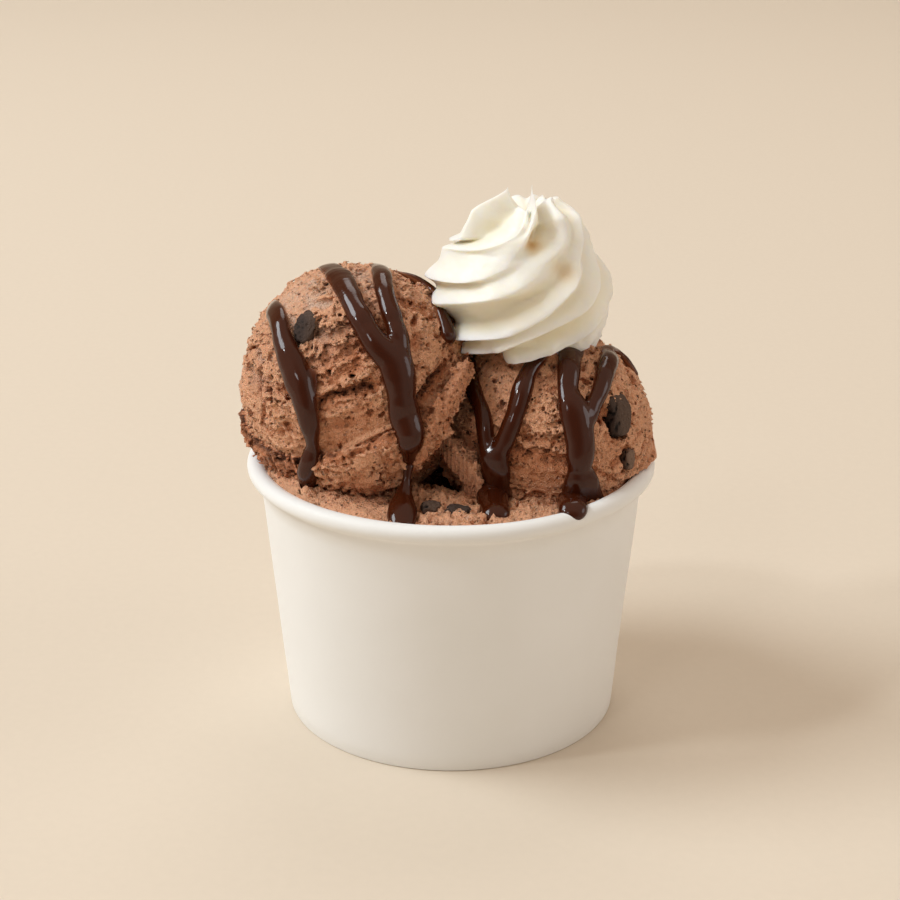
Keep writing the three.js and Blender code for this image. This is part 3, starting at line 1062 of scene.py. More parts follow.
@dataclass
class Fudge:
    """Fudge that ran over one scoop, as one glossy piece."""

    name: str
    node: str
    shape: ScoopShape
    streams: tuple[Stream | Spill, ...]
    cell: float = 0.30
    step: float = 0.45
    blend: float = 0.9
    room: float = 6.0
    waviness: float = 0.10

    def stamp(self, block: Block, values: np.ndarray, bead: Bead) -> None:
        """Adds one flattened bead to a field.

        Args:
            block: the block of cells.
            values: its field, changed in place.
            bead: the bead to add.
        """
        wide, high = bead.half_width, bead.half_height
        margin = max(wide, high) + 2.5 * block.cell + self.blend
        spans = []
        for k in range(3):
            first = int((bead.middle[k] - margin - block.low[k]) / block.cell)
            last = int((bead.middle[k] + margin - block.low[k]) / block.cell) + 2
            spans.append(slice(max(first, 0), max(last, 0)))
        sides = (block.sides[k][spans[k]] - bead.middle[k] for k in range(3))
        grid = np.meshgrid(*sides, indexing="ij")
        along = grid[0] * bead.up[0] + grid[1] * bead.up[1] + grid[2] * bead.up[2]
        square = grid[0] ** 2 + grid[1] ** 2 + grid[2] ** 2
        across = np.maximum(square - along**2, 0)
        size = np.sqrt(across / wide**2 + (along / high) ** 2)
        slope = np.sqrt(across / wide**4 + along**2 / high**4)
        place = tuple(spans)
        values[place] = np.minimum(values[place], size * (size - 1) / np.maximum(slope, 1e-6))

    def make_skin(self) -> Skin:
        """Joins the runs into one field and returns its skin.

        Returns:
            The closed skin of all runs.
        """
        runs = [stream.beads(self.shape, self.step) for stream in self.streams]
        middles = np.array([bead.middle for run in runs for bead in run])
        low, high = middles.min(axis=0) - self.room, middles.max(axis=0) + self.room
        block = Block(low, high, self.cell)
        far = 3 * self.cell + self.blend
        whole = np.full(block.shape, far, np.float32)
        for run in runs:
            values = np.full(block.shape, far, np.float32)
            for bead in run:
                self.stamp(block, values, bead)
            whole = smooth_least(whole, values, self.blend)
        waves = unevenness(block.points().reshape(-1, 3) * 0.35, 55)
        whole += self.waviness * waves.reshape(block.shape)
        skin = block.skin_of(whole, 0.0, all_pieces=True)
        away = skin.corners - np.array(self.shape.centre)
        distance = np.linalg.norm(away, axis=1)
        skin.values = {"thickness": distance - self.shape.ball_radius(away / distance[:, None])}
        return skin

    def make(self, finish: Material) -> bpy.types.Object:
        """Builds the piece and gives it its finish."""
        return dressed(self.make_skin().build(self.name), finish, Slot.ICE_CREAM, self.node)


# ---------------- ice cream in the cup


@dataclass
class CupFill:
    """The ice cream in the cup: an uneven top over a closed body.

    Each of the `spots` is a rise or a dip of the top: [x, y, height, reach].
    """

    name: str = "ice_cream_in_cup"
    node: str = "ice_cream_fill"
    spots: Rows = (
        (3, -12, -4.8, 9),
        (1, -36, 0.8, 7),
        (-33, -25, 3.4, 11),
        (-42, -4, 3.2, 11),
        (20, -38, 1.3, 9),
        (-21, -39, 1.9, 9),
        (-3, -24, 2.0, 6),
    )
    smooth_spot: Triple = (-18.5, -36.0, 6.0)
    floor: float = 7.3
    columns: int = 440
    rings: int = 92
    inner_radius: float = 6.0
    swell: float = 0.9
    swell_rate: float = 0.19
    lump_height: float = 1.6
    pore_depth: float = 1.9
    smoothness: float = 0.2

    def height_at(self, x: np.ndarray, y: np.ndarray) -> np.ndarray:
        """The height of the top at each place.

        Args:
            x, y: the places.

        Returns:
            One height for each place.
        """
        flat = np.stack([x, y, np.zeros_like(x)], axis=-1).reshape(-1, 3)
        height = FILL_LEVEL + self.swell * unevenness(flat * self.swell_rate, 5)
        height = height + 0.5 * unevenness(flat * 0.45, 9)
        for spot_x, spot_y, rise, reach in self.spots:
            height += rise * bump_at(np.hypot(flat[:, 0] - spot_x, flat[:, 1] - spot_y), reach)
        smooth_x, smooth_y, reach = self.smooth_spot
        torn = 1 - bump_at(np.hypot(flat[:, 0] - smooth_x, flat[:, 1] - smooth_y), reach)
        lumps = np.abs(unevenness(flat * 0.62, 61)) + 0.5 * np.abs(unevenness(flat * 1.3, 62))
        pores = unevenness(flat * 1.15, 63) + 0.6 * unevenness(flat * 2.1, 64)
        holes = self.pore_depth * smooth_between(pores, 0.40, 0.85)
        height += torn * (self.lump_height * (lumps - 0.3) - holes)
        return height.reshape(x.shape)

    def make_skin(self) -> Skin:
        """A polar grid over the cup's mouth, with its edge turned down to the cup's floor.

        Returns:
            The closed skin.
        """
        edge = wall_inside(FILL_LEVEL) - 0.15
        radius = np.linspace(self.inner_radius, edge, self.rings)
        turn = np.linspace(0, 2 * math.pi, self.columns, endpoint=False)
        x = radius[:, None] * np.cos(turn)
        y = radius[:, None] * np.sin(turn)
        height = self.height_at(x, y)
        fall = smooth_between(radius, edge - 1.2, edge)[:, None]
        top = np.stack([x, y, height - 0.7 * fall], axis=-1)
        lower = []
        for level in (0.8, 0.4, 0.0):
            z = self.floor + (FILL_LEVEL - 4 - self.floor) * level
            ring = wall_inside(z) - 0.3
            around = [ring * np.cos(turn), ring * np.sin(turn), np.full_like(turn, z)]
            lower.append(np.stack(around, axis=-1))
        grid = np.concatenate([top, np.array(lower)])
        skin = capped_grid(grid, np.array([0, 0, FILL_LEVEL - 3.0]), np.array([0, 0, self.floor]))
        # Painted shade: the top is painted darker where it lies below its smooth swell.
        flat = skin.corners * [self.swell_rate, self.swell_rate, 0]
        base = FILL_LEVEL + self.swell * unevenness(flat, 5)
        skin.values = {
            "depth": base + 0.2 - skin.corners[:, 2],
            "smooth": np.full(len(skin.corners), self.smoothness),
            "frost_and_painted_light": np.zeros(len(skin.corners)),
        }
        return skin

    def make(self, finish: Material) -> bpy.types.Object:
        """Builds the piece and gives it its finish."""
        return dressed(self.make_skin().build(self.name), finish, Slot.ICE_CREAM, self.node)


# ---------------- paper cup


def wall_outside(height: float) -> float:
    """The cup's outer radius at a height below the roll."""
    return FOOT_RADIUS + (NECK_RADIUS - FOOT_RADIUS) * height / NECK_HEIGHT


def wall_inside(height: float) -> float:
    """The cup's inner radius at a height below the roll."""
    return wall_outside(height) - PAPER


@dataclass
class PaperCup:
    """The cup: a wall with a rolled rim and a hem at the foot, and a base with a skirt."""

    columns: int = 256
    roll_steps: int = 20
    wall_steps: int = 16
    hem_height: float = 6.0
    skirt: float = 0.5
    gap: float = 0.3
    base_height: float = 6.4
    seam_azimuth: float = 100.0
    seam_width: float = 7.0
    seam_step: float = 0.35
    fold: float = 0.35
    roll_span: tuple[float, float] = (-76.0, 218.0)
    dome: float = 0.25

    def wall_outline(self) -> np.ndarray:
        """The wall's closed section, from the hem's foot up the outside and down the inside.

        Returns:
            The section's [radius, height] points.
        """
        points = [
            (wall_inside(0) - self.hem_inset(), 0.0),
            (wall_outside(0) - self.fold, 0.0),
            (wall_outside(0) - 0.3 * self.fold, 0.3 * self.fold),
            (wall_outside(self.fold), self.fold),
        ]
        heights = np.linspace(self.fold, NECK_HEIGHT - 1.2, self.wall_steps)[1:]
        points += [(wall_outside(z), float(z)) for z in heights]
        points += self.roll_outline()
        points += [(wall_inside(z), float(z)) for z in heights[::-1]]
        outer_hem = self.hem_inset() - self.skirt
        points += [
            (wall_inside(PAPER), PAPER),
            (wall_inside(PAPER) - outer_hem, PAPER),
            (wall_inside(self.hem_height) - outer_hem, self.hem_height),
            (wall_inside(self.hem_height) - self.hem_inset(), self.hem_height),
        ]
        return np.array(points)

    def hem_inset(self) -> float:
        """How far the hem's inner face is from the wall's inner face."""
        return 2 * self.gap + 2 * self.skirt

    def roll_outline(self) -> list[tuple[float, float]]:
        """The rolled rim's section, from the neck outside, over the top, to the inside.

        Returns:
            The section's [radius, height] points.
        """
        middle = (RIM_RADIUS - ROLL_HALF_WIDTH, CUP_HEIGHT - ROLL_HALF_HEIGHT)
        turns = np.radians(np.linspace(*self.roll_span, self.roll_steps))
        return [
            (middle[0] + ROLL_HALF_WIDTH * math.cos(t), middle[1] + ROLL_HALF_HEIGHT * math.sin(t))
            for t in turns
        ]

    def make_wall(self, finish: Material) -> bpy.types.Object:
        """The wall, a little uneven, with its lap seam at the back.

        Args:
            finish: the paper's material.

        Returns:
            The piece.
        """
        skin = turned_skin(self.wall_outline(), self.columns)
        radius = np.hypot(skin.corners[:, 0], skin.corners[:, 1])
        azimuth = np.degrees(np.arctan2(skin.corners[:, 1], skin.corners[:, 0]))
        across = np.radians(turn_between(azimuth, self.seam_azimuth)) * radius
        lap = smooth_between(across, -self.seam_width - 0.5, -self.seam_width)
        lap = lap * smooth_between(across, 0.4, -0.4)
        inside = np.array([wall_inside(z) for z in skin.corners[:, 2]])
        outside = smooth_between(radius - inside, 0.2, 0.5)
        soft = 0.10 * unevenness(skin.corners * [0.06, 0.06, 0.03], 71)
        soft += 0.05 * unevenness(skin.corners * 0.16, 72)
        lift = soft * smooth_between(skin.corners[:, 2], 0.5, 6)
        lift = lift + self.seam_step * lap * outside * smooth_between(skin.corners[:, 2], 62.5, 60)
        skin.corners[:, :2] *= (1 + lift / radius)[:, None]
        return dressed(skin.build("paper_wall"), finish, Slot.PAPER, "cup_wall")

    def skirt_outside(self, height: float) -> float:
        """The outer radius of the base's skirt at a height."""
        return wall_inside(height) - self.gap

    def make_base(self, finish: Material) -> bpy.types.Object:
        """The base disc with its skirt turned down inside the hem.

        Args:
            finish: the paper's material.

        Returns:
            The piece.
        """
        foot = PAPER + self.gap
        rings = np.linspace(self.skirt_outside(self.base_height) - self.skirt - 0.8, 1.0, 8)
        under = [
            (float(r), self.base_height - self.dome * (1 - (r / rings[0]) ** 2)) for r in rings
        ]
        over = [(r, z + PAPER) for r, z in reversed(under)]
        low, high = self.skirt_outside(foot), self.skirt_outside(self.base_height)
        outline = [
            (high - self.skirt - 0.25, self.base_height - self.dome),
            (low - self.skirt, foot),
            (low, foot),
            (high, self.base_height + 0.1),
            (high - 0.4, self.base_height + PAPER),
        ]
        turn = np.linspace(0, 2 * math.pi, self.columns, endpoint=False)
        section = np.array([*under[::-1], *outline, *over[::-1]])
        grid = np.stack(
            [section[:, :1] * np.cos(turn), section[:, :1] * np.sin(turn),
             section[:, 1:] * np.ones_like(turn)], axis=-1,
        )
        middle = self.base_height - self.dome
        skin = capped_grid(grid, np.array([0, 0, middle]), np.array([0, 0, middle + PAPER]))
        return dressed(skin.build("paper_base"), finish, Slot.PAPER, "cup_base")


# ---------------- whipped cream


@dataclass(frozen=True)
class Crest:
    """One ridge of the swirl and the face after it.

    `path` has the ridge's [height, azimuth] pairs from the bottom up. `valley` is how far across
    the face after it is deepest, and `groove` how deep, as a share of the radius; the last two of
    each hold near the top. The tip has its own rise and its own share of the radius.
    """

    path: Pairs
    valley: tuple[float, float]
    groove: tuple[float, float]
    tip_rise: float
    tip_reach: float


@dataclass
class WhippedCream:
    """A piped swirl: sharp crests that wind up round it and end in separate tips.

    Each of the golden spots is a small hollow with painted golden shade in it: [x, y, z, reach].
    `over_left` is the left scoop's ball, which the swirl stays out of, as its centre and radius.
    """

    crests: tuple[Crest, ...]
    name: str = "cream_swirl"
    node: str = "whipped_cream"
    centre: tuple[float, float] = (15.3, 0.5)
    lean: float = 1.6
    bottom: float = 86.0
    top: float = 127.0
    rows: int = 170
    inner_rows: int = 24
    columns_per_crest: int = 48
    sharpness: float = 1.5
    path_blur: float = 1.1
    under_height: float = 6.5
    crest_droop: float = 1.2
    valley_dip: float = 2.6
    lower_crumb: float = 0.60
    golden_dent: float = 1.8
    over_left: tuple[float, float, float, float] = (-21.8, -3.0, 83.0, 27.7)
    golden_shade_spots: Rows = (
        (18.2, -11.0, 120.0, 1.6),
        (18.2, -11.8, 117.8, 1.9),
        (26.0, -15.0, 113.4, 2.3),
    )
    radius_profile: Pairs = (
        (86, 12), (90, 17), (94, 19.6), (98, 20.8), (102, 21.4), (105, 22.0), (109, 21.7),
        (112, 19.8), (115.4, 17.4), (117, 16.4), (120.5, 14.4), (124, 12.6), (127, 9.4),
    )
    edge_profile: Pairs = (
        (-180, 93), (-130, 96.8), (-108, 98.2), (-88, 93.8), (-70, 96.3), (-55, 97.2),
        (-42, 96.6), (-20, 94), (0, 92), (60, 91), (180, 92),
    )

    def angles_at(self, height: np.ndarray) -> np.ndarray:
        """Every crest's azimuth at each height.

        Args:
            height: heights above the table.

        Returns:
            Degrees as heights x crests, rising from one crest to the next.
        """
        paths = [soft_profile(crest.path, height, self.path_blur) for crest in self.crests]
        return np.stack(paths, axis=1)

    def under_share(self, height: np.ndarray, azimuth: np.ndarray) -> np.ndarray:
        """How much of the radius is left below the swirl's rounded lower edge.

        Args:
            height: heights above the table.
            azimuth: degrees at each place.

        Returns:
            One share for each place.
        """
        at, edge = np.array(self.edge_profile, float).T
        lowest = np.interp((azimuth + 180) % 360 - 180, at, edge)
        below = np.clip((lowest - height) / self.under_height, 0, 1)
        return np.sqrt(np.maximum(1 - below**2, 0.04))

    def face(
        self, height: np.ndarray, first: np.ndarray, last: np.ndarray, crest: Crest, after: Crest
    ) -> tuple[np.ndarray, np.ndarray]:
        """The points of one face, from its crest to the next.

        Args:
            height: the rows' heights.
            first: the crest's azimuth in each row.
            last: the next crest's azimuth in each row.
            crest: the crest.
            after: the next crest.

        Returns:
            Points as rows x columns x 3, and how deep in the valley each lies.
        """
        step = np.arange(self.columns_per_crest) / self.columns_per_crest
        part = (height - self.bottom) / (self.top - self.bottom)
        upper = smooth_between(height, 115.0, 121.0)[:, None]
        place = crest.valley[0] + (crest.valley[1] - crest.valley[0]) * upper
        deep = crest.groove[0] + (crest.groove[1] - crest.groove[0]) * upper
        from_valley = np.where(step < place, 1 - step / place, (step - place) / (1 - place))
        valley = np.cos(0.5 * math.pi * from_valley) ** self.sharpness
        turn = first[:, None] + (last - first)[:, None] * step
        width = ((last - first) / 50)[:, None]
        deep = 1.2 * deep * np.clip(width, 0.35, 1.25)
        near_top = smooth_between(part, 0.80, 1.0)[:, None]
        tip = crest.tip_rise + (after.tip_rise - crest.tip_rise) * step
        lift = near_top * (tip * (1 - valley) ** 2 - self.valley_dip * valley)
        reach = crest.tip_reach + (after.tip_reach - crest.tip_reach) * step
        shape = soft_profile(self.radius_profile, height, 0.8)[:, None] * (1 - deep * valley)
        shape = shape * (1 + (reach - 1) * smooth_between(part, 0.91, 1.0)[:, None])
        shape = shape * self.under_share(height[:, None], turn)
        lean = self.lean * part[:, None] ** 3
        x = self.centre[0] + lean + shape * np.cos(np.radians(turn))
        y = self.centre[1] + shape * np.sin(np.radians(turn))
        droop = self.crest_droop * (1 - valley) ** 1.5 * (1 - part[:, None] ** 3)
        z = height[:, None] - droop + lift
        return np.stack([x, y, z], axis=-1), deep * valley * shape

    def outer_grid(self) -> tuple[np.ndarray, np.ndarray]:
        """Points up the outside of the swirl as rows x columns x 3, and their valley depths.

        Returns:
            The points, and one depth for each.
        """
        height = self.bottom + (self.top - self.bottom) * np.linspace(0, 1, self.rows)
        angles = self.angles_at(height)
        closing = np.concatenate([angles, angles[:, :1] + 360], axis=1)
        faces = [
            self.face(height, closing[:, k], closing[:, k + 1], crest, after)
            for k, (crest, after) in enumerate(zip(self.crests, self.crests[1:] + self.crests[:1]))
        ]
        points, depths = zip(*faces)
        return np.concatenate(points, axis=1), np.concatenate(depths, axis=1)

    def off_the_scoop(self, points: np.ndarray) -> np.ndarray:
        """Moves points that are inside the left scoop out to its skin.

        Args:
            points: places on the swirl.

        Returns:
            The places after the move.
        """
        *centre, radius = self.over_left
        away = points - np.array(centre)
        distance = np.linalg.norm(away, axis=1)
        least = smooth_between(points[:, 2], 88, 93) * radius
        wanted = -smooth_least(-distance, -least, 0.8)
        return np.array(centre) + away * (wanted / distance)[:, None]

    def make_skin(self) -> Skin:
        """The outside, then the hollow between the tips, closed at the bottom.

        Returns:
            The closed skin.
        """
        outer, depth = self.outer_grid()
        middle = np.array([self.centre[0] + self.lean, self.centre[1], self.top - 4.2])
        inward = []
        for part in np.linspace(0, 1, self.inner_rows + 1)[1:-1]:
            ring = outer[-1] + (middle - outer[-1]) * part
            ring[:, 2] = outer[-1][:, 2] + (middle[2] - outer[-1][:, 2]) * part**0.55
            inward.append(ring)
        grid = np.concatenate([outer, np.array(inward)])
        flat = grid.reshape(-1, 3)
        out = unit((flat - [self.centre[0], self.centre[1], 0]) * [1, 1, 0])
        rough = 0.30 * unevenness(flat * 0.30, 81) + 0.08 * unevenness(flat * 0.9, 82)
        low_right = smooth_between(flat[:, 2], 102, 92) * smooth_between(flat[:, 0], 9, 18)
        rough = rough + self.lower_crumb * low_right * unevenness(flat * 0.8, 83)
        # Painted golden shade in small hollows, which are also dented in.
        golden_shade_share = np.zeros(len(flat))
        for *spot, reach in self.golden_shade_spots:
            golden_shade_share = np.maximum(golden_shade_share, bump_at(np.linalg.norm(flat - np.array(spot), axis=1), reach))
        flat = self.off_the_scoop(flat + out * (rough - self.golden_dent * golden_shade_share)[:, None])
        foot = np.array([self.centre[0], self.centre[1], self.bottom])
        skin = capped_grid(flat.reshape(grid.shape), foot, middle)
        # Painted shade: the hollow between the tips is given deep values.
        hollow = np.linspace(1.0, 3.0, self.inner_rows - 1)[:, None] + 0 * depth[-1]
        depths = np.concatenate([depth.ravel(), hollow.ravel(), [0.0, 3.0]])
        skin.values = {"depth": depths, "golden_shade_share": np.concatenate([golden_shade_share, [0.0, 0.0]])}
        return skin

    def make(self, finish: Material) -> bpy.types.Object:
        """Builds the piece and gives it its finish."""
        return dressed(self.make_skin().build(self.name), finish, Slot.WHIPPED_CREAM, self.node)


def soft_profile(
    profile: Pairs, place: np.ndarray, blur: float
) -> np.ndarray:
    """The value of a profile of [place, value] pairs, with its corners rounded.

    Args:
        profile: the pairs, by rising place.
        place: where to read it.
        blur: how far round each place it is averaged.

    Returns:
        One value for each place.
    """
    at, value = np.array(profile, float).T
    spread = np.linspace(-1, 1, 9)
    weight = (1 - spread**2) + 0.05
    read = [np.interp(place + blur * s, at, value) * w for s, w in zip(spread, weight)]
    return np.sum(read, axis=0) / weight.sum()


# ---------------- cookie pieces


@dataclass(frozen=True)
class CookieChunk:
    """A broken cookie piece: where it sits, its half sizes, its turn and its faces.

    With a `bed`, the piece is stuck in that scoop and its outer face is about level with the
    skin; `proud` is how far it still stands out. `pit_side` is how much more its -X side is
    pitted and dark than its +X side.
    """

    name: str
    node: str
    at: Triple
    half: Triple
    turn: float
    seed: int
    frosted_and_painted_light: float = 0.0
    bed: ScoopShape | None = None
    proud: float = 0.2
    pit_side: float = 0.4
    squareness: float = 0.45
    roughness: float = 0.16
    rows: int = 46
    columns: int = 76

    def kept_level(self, points: np.ndarray) -> np.ndarray:
        """Presses what stands out of the bed nearly level with its skin.

        Args:
            points: places on the piece.

        Returns:
            The places after the move.
        """
        if self.bed is None:
            return points
        centre = np.array(self.bed.centre)
        away = points - centre
        distance = np.linalg.norm(away, axis=1)
        most = self.bed.ball_radius(unit(away)) + self.proud
        over = np.maximum(distance - most, 0)
        return centre + away * ((distance - 0.85 * over) / distance)[:, None]

    def make_skin(self) -> Skin:
        """A boxy lump with a crumbly skin.

        Returns:
            The closed skin.
        """
        elevation = np.linspace(90, -90, self.rows + 2)[1:-1]
        azimuth = np.linspace(0, 360, self.columns, endpoint=False)
        rise, turn = np.radians(np.meshgrid(elevation, azimuth, indexing="ij"))
        wide = np.cos(rise)
        out = np.stack([wide * np.cos(turn), wide * np.sin(turn), np.sin(rise)], axis=-1)
        flat = out.reshape(-1, 3)
        boxy = 1 / np.abs(flat).max(axis=1) ** self.squareness
        size = 1 + self.roughness * unevenness(flat * 1.6, self.seed)
        size += 0.07 * unevenness(flat * 4.5, self.seed + 1)
        placed = flat * (boxy * size)[:, None] * np.array(self.half)
        cos, sin = math.cos(math.radians(self.turn)), math.sin(math.radians(self.turn))
        turned = placed @ np.array([[cos, sin, 0], [-sin, cos, 0], [0, 0, 1]])
        level = self.kept_level(turned + np.array(self.at))
        grain = 0.14 * unevenness(level * 1.6, self.seed + 2)
        side = smooth_between(placed[:, 0] / self.half[0], -0.9, -0.1)
        pitted = unevenness(level * 1.1, self.seed + 4) - self.pit_side * side
        pits = smooth_between(pitted, 0.10, 0.45)
        rough = level + unit(level - np.array(self.at)) * (grain - 0.7 * pits)[:, None]
        grid = rough.reshape(self.rows, self.columns, 3)
        skin = capped_grid(grid, grid[0].mean(axis=0), grid[-1].mean(axis=0))
        # How deep each point lies in a pit, for painted shade there.
        deep = np.concatenate([pits, [0, 0]])
        frost_and_painted_light = np.concatenate([self.frosted_and_painted_light * (1 - self.pit_side * (1 - side)), [0, 0]])
        skin.values = {"depth": deep, "frost_and_painted_light": frost_and_painted_light}
        return skin

    def make(self, finish: Material) -> bpy.types.Object:
        """Builds the piece and gives it its finish."""
        return dressed(self.make_skin().build(self.name), finish, Slot.COOKIE, self.node)


# ---------------- finishes


class Nodes:
    """Adds shader nodes to a tree and joins them, with short calls."""

    def __init__(self, tree: bpy.types.NodeTree) -> None:
        """Keeps the tree."""
        self.tree = tree

    def add(self, kind: str, **settings: object) -> bpy.types.Node:
        """Adds a node and sets its properties.

        Args:
            kind: the node's type.
            settings: its properties by name.

        Returns:
            The node.
        """
        node = self.tree.nodes.new(kind)
        for key, value in settings.items():
            setattr(node, key, value)
        return node

    def join(self, start: Socket, end: Socket) -> None:
        """Joins an output to an input."""
        self.tree.links.new(start, end)

    def ramp(
        self, value: Socket, low: float, high: float,
        to_low: float = 0.0, to_high: float = 1.0,
    ) -> Socket:
        """Stretches a value from one range to another, held at its ends.

        Args:
            value: the value to stretch.
            low, high: the range that it comes in.
            to_low, to_high: the range that it leaves in.

        Returns:
            The stretched value.
        """
        node = self.add("ShaderNodeMapRange")
        settings = {"From Min": low, "From Max": high, "To Min": to_low, "To Max": to_high}
        for key, number in settings.items():
            node.inputs[key].default_value = number
        self.join(value, node.inputs["Value"])
        return node.outputs["Result"]

    def math(self, kind: str, first: object, second: object) -> Socket:
        """One step of arithmetic on sockets or numbers.

        Args:
            kind: the operation.
            first, second: what it works on.

        Returns:
            The result.
        """
        node = self.add("ShaderNodeMath", operation=kind)
        for socket, value in zip(node.inputs, (first, second)):
            if isinstance(value, (int, float)):
                socket.default_value = value
            else:
                self.join(value, socket)
        return node.outputs["Value"]

    def mix(self, share: object, first: object, second: object) -> Socket:
        """Mixes two colours, each a socket or three linear numbers.

        Args:
            share: how much of the second colour to take.
            first, second: the colours.

        Returns:
            The mixed colour.
        """
        node = self.add("ShaderNodeMix", data_type="RGBA")
        for name, value in (("Factor", share), ("A", first), ("B", second)):
            sockets = [s for s in node.inputs if s.name == name and s.type in ("VALUE", "RGBA")]
            socket = next(s for s in sockets if (name == "Factor") == (s.type == "VALUE"))
            if isinstance(value, (int, float)):
                socket.default_value = value
            elif isinstance(value, tuple):
                socket.default_value = (*value, 1.0)
            else:
                self.join(value, socket)
        return next(s for s in node.outputs if s.type == "RGBA")

    def attribute(self, name: str) -> Socket:
        """A value that the mesh holds at its corners."""
        return self.add("ShaderNodeAttribute", attribute_name=name).outputs["Fac"]

    def dot(
        self, place: Socket, direction: Triple
    ) -> Socket:
        """How far a place lies along a direction.

        Args:
            place: the place.
            direction: the direction.

        Returns:
            The distance along it.
        """
        node = self.add("ShaderNodeVectorMath", operation="DOT_PRODUCT")
        self.join(place, node.inputs[0])
        node.inputs[1].default_value = direction
        return node.outputs["Value"]

    def group(self, tree: bpy.types.NodeTree, **inputs: float) -> bpy.types.Node:
        """Places a node group with its own values.

        Args:
            tree: the node group.
            inputs: its values by name.

        Returns:
            The node.
        """
        node = self.add("ShaderNodeGroup", node_tree=tree)
        for key, value in inputs.items():
            node.inputs[key.replace("_", " ")].default_value = value
        return node


def fine_grain_group() -> bpy.types.NodeTree:
    """A grain in two sizes that several finishes share.

    Returns:
        A group with Scale, Coarse, Fine and Pore inputs, and Height and Mottle outputs.
    """
    tree = bpy.data.node_groups.new("fine_grain", "ShaderNodeTree")
    for name, value in (("Scale", 1000.0), ("Coarse", 0.6), ("Fine", 0.4), ("Pore", 0.0)):
        socket = tree.interface.new_socket(name, in_out="INPUT", socket_type="NodeSocketFloat")
        socket.default_value = value
    for name in ("Height", "Mottle"):
        tree.interface.new_socket(name, in_out="OUTPUT", socket_type="NodeSocketFloat")
    nodes = Nodes(tree)
    start = nodes.add("NodeGroupInput")
    end = nodes.add("NodeGroupOutput")
    place = nodes.add("ShaderNodeTexCoord").outputs["Object"]
    coarse = nodes.add("ShaderNodeTexNoise")
    fine = nodes.add("ShaderNodeTexNoise")
    for node, share in ((coarse, 1.0), (fine, 3.1)):
        nodes.join(place, node.inputs["Vector"])
        nodes.join(nodes.math("MULTIPLY", start.outputs["Scale"], share), node.inputs["Scale"])
    high = nodes.math("MULTIPLY", coarse.outputs["Fac"], start.outputs["Coarse"])
    low = nodes.math("MULTIPLY", fine.outputs["Fac"], start.outputs["Fine"])
    cells = nodes.add("ShaderNodeTexVoronoi")
    nodes.join(place, cells.inputs["Vector"])
    nodes.join(nodes.math("MULTIPLY", start.outputs["Scale"], 0.9), cells.inputs["Scale"])
    open_cells = nodes.ramp(cells.outputs["Distance"], 0.10, 0.42, -1.0, 0.0)
    here = nodes.ramp(coarse.outputs["Fac"], 0.45, 0.60)
    pores = nodes.math("MULTIPLY", nodes.math("MULTIPLY", open_cells, here), start.outputs["Pore"])
    height = nodes.math("ADD", nodes.math("ADD", high, low), pores)
    nodes.join(height, end.inputs["Height"])
    nodes.join(nodes.ramp(coarse.outputs["Fac"], 0.3, 0.7), end.inputs["Mottle"])
    return tree


def soft_drift_group() -> bpy.types.NodeTree:
    """A slow change of tone over a surface that several finishes share.

    Returns:
        A group with a Scale input and a Drift output between 0 and 1.
    """
    tree = bpy.data.node_groups.new("soft_drift", "ShaderNodeTree")
    socket = tree.interface.new_socket("Scale", in_out="INPUT", socket_type="NodeSocketFloat")
    socket.default_value = 100.0
    tree.interface.new_socket("Drift", in_out="OUTPUT", socket_type="NodeSocketFloat")
    nodes = Nodes(tree)
    start = nodes.add("NodeGroupInput")
    end = nodes.add("NodeGroupOutput")
    noise = nodes.add("ShaderNodeTexNoise")
    nodes.join(nodes.add("ShaderNodeTexCoord").outputs["Object"], noise.inputs["Vector"])
    nodes.join(start.outputs["Scale"], noise.inputs["Scale"])
    nodes.join(nodes.ramp(noise.outputs["Fac"], 0.32, 0.68), end.inputs["Drift"])
    return tree


@dataclass
class Effects:
    """The shared node groups."""

    grain: bpy.types.NodeTree
    drift: bpy.types.NodeTree


@dataclass(frozen=True)
class Finish:
    """What every finish has: a name, and the plain values of its shader."""

    name: str
    roughness: float
    soft_depth: float = 0.0
    soft_share: float = 0.0
    soft_radius: Triple = (1.0, 0.5, 0.3)
    refraction: float = 1.45

    def start(self) -> tuple[Material, Nodes, bpy.types.Node]:
        """Makes the material with its shader's plain values set.

        Returns:
            The material, its nodes and its shader.
        """
        material = bpy.data.materials.new(self.name)
        material.use_nodes = True
        nodes = Nodes(material.node_tree)
        shader = next(n for n in material.node_tree.nodes if n.type == "BSDF_PRINCIPLED")
        shader.inputs["Roughness"].default_value = self.roughness
        shader.inputs["IOR"].default_value = self.refraction
        shader.inputs["Subsurface Weight"].default_value = self.soft_share
        shader.inputs["Subsurface Scale"].default_value = self.soft_depth * MM
        shader.inputs["Subsurface Radius"].default_value = self.soft_radius
        return material, nodes, shader

    def raise_from(
        self, nodes: Nodes, shader: bpy.types.Node, height: Socket, distance: float
    ) -> None:
        """Feeds the shader's normal from a height.

        Args:
            nodes: the material's nodes.
            shader: its shader.
            height: the height, as a share of the distance.
            distance: millimetres for a height of 1.
        """
        bump = nodes.add("ShaderNodeBump")
        bump.inputs["Distance"].default_value = distance * MM
        bump.inputs["Strength"].default_value = 1.0
        nodes.join(height, bump.inputs["Height"])
        nodes.join(bump.outputs["Normal"], shader.inputs["Normal"])


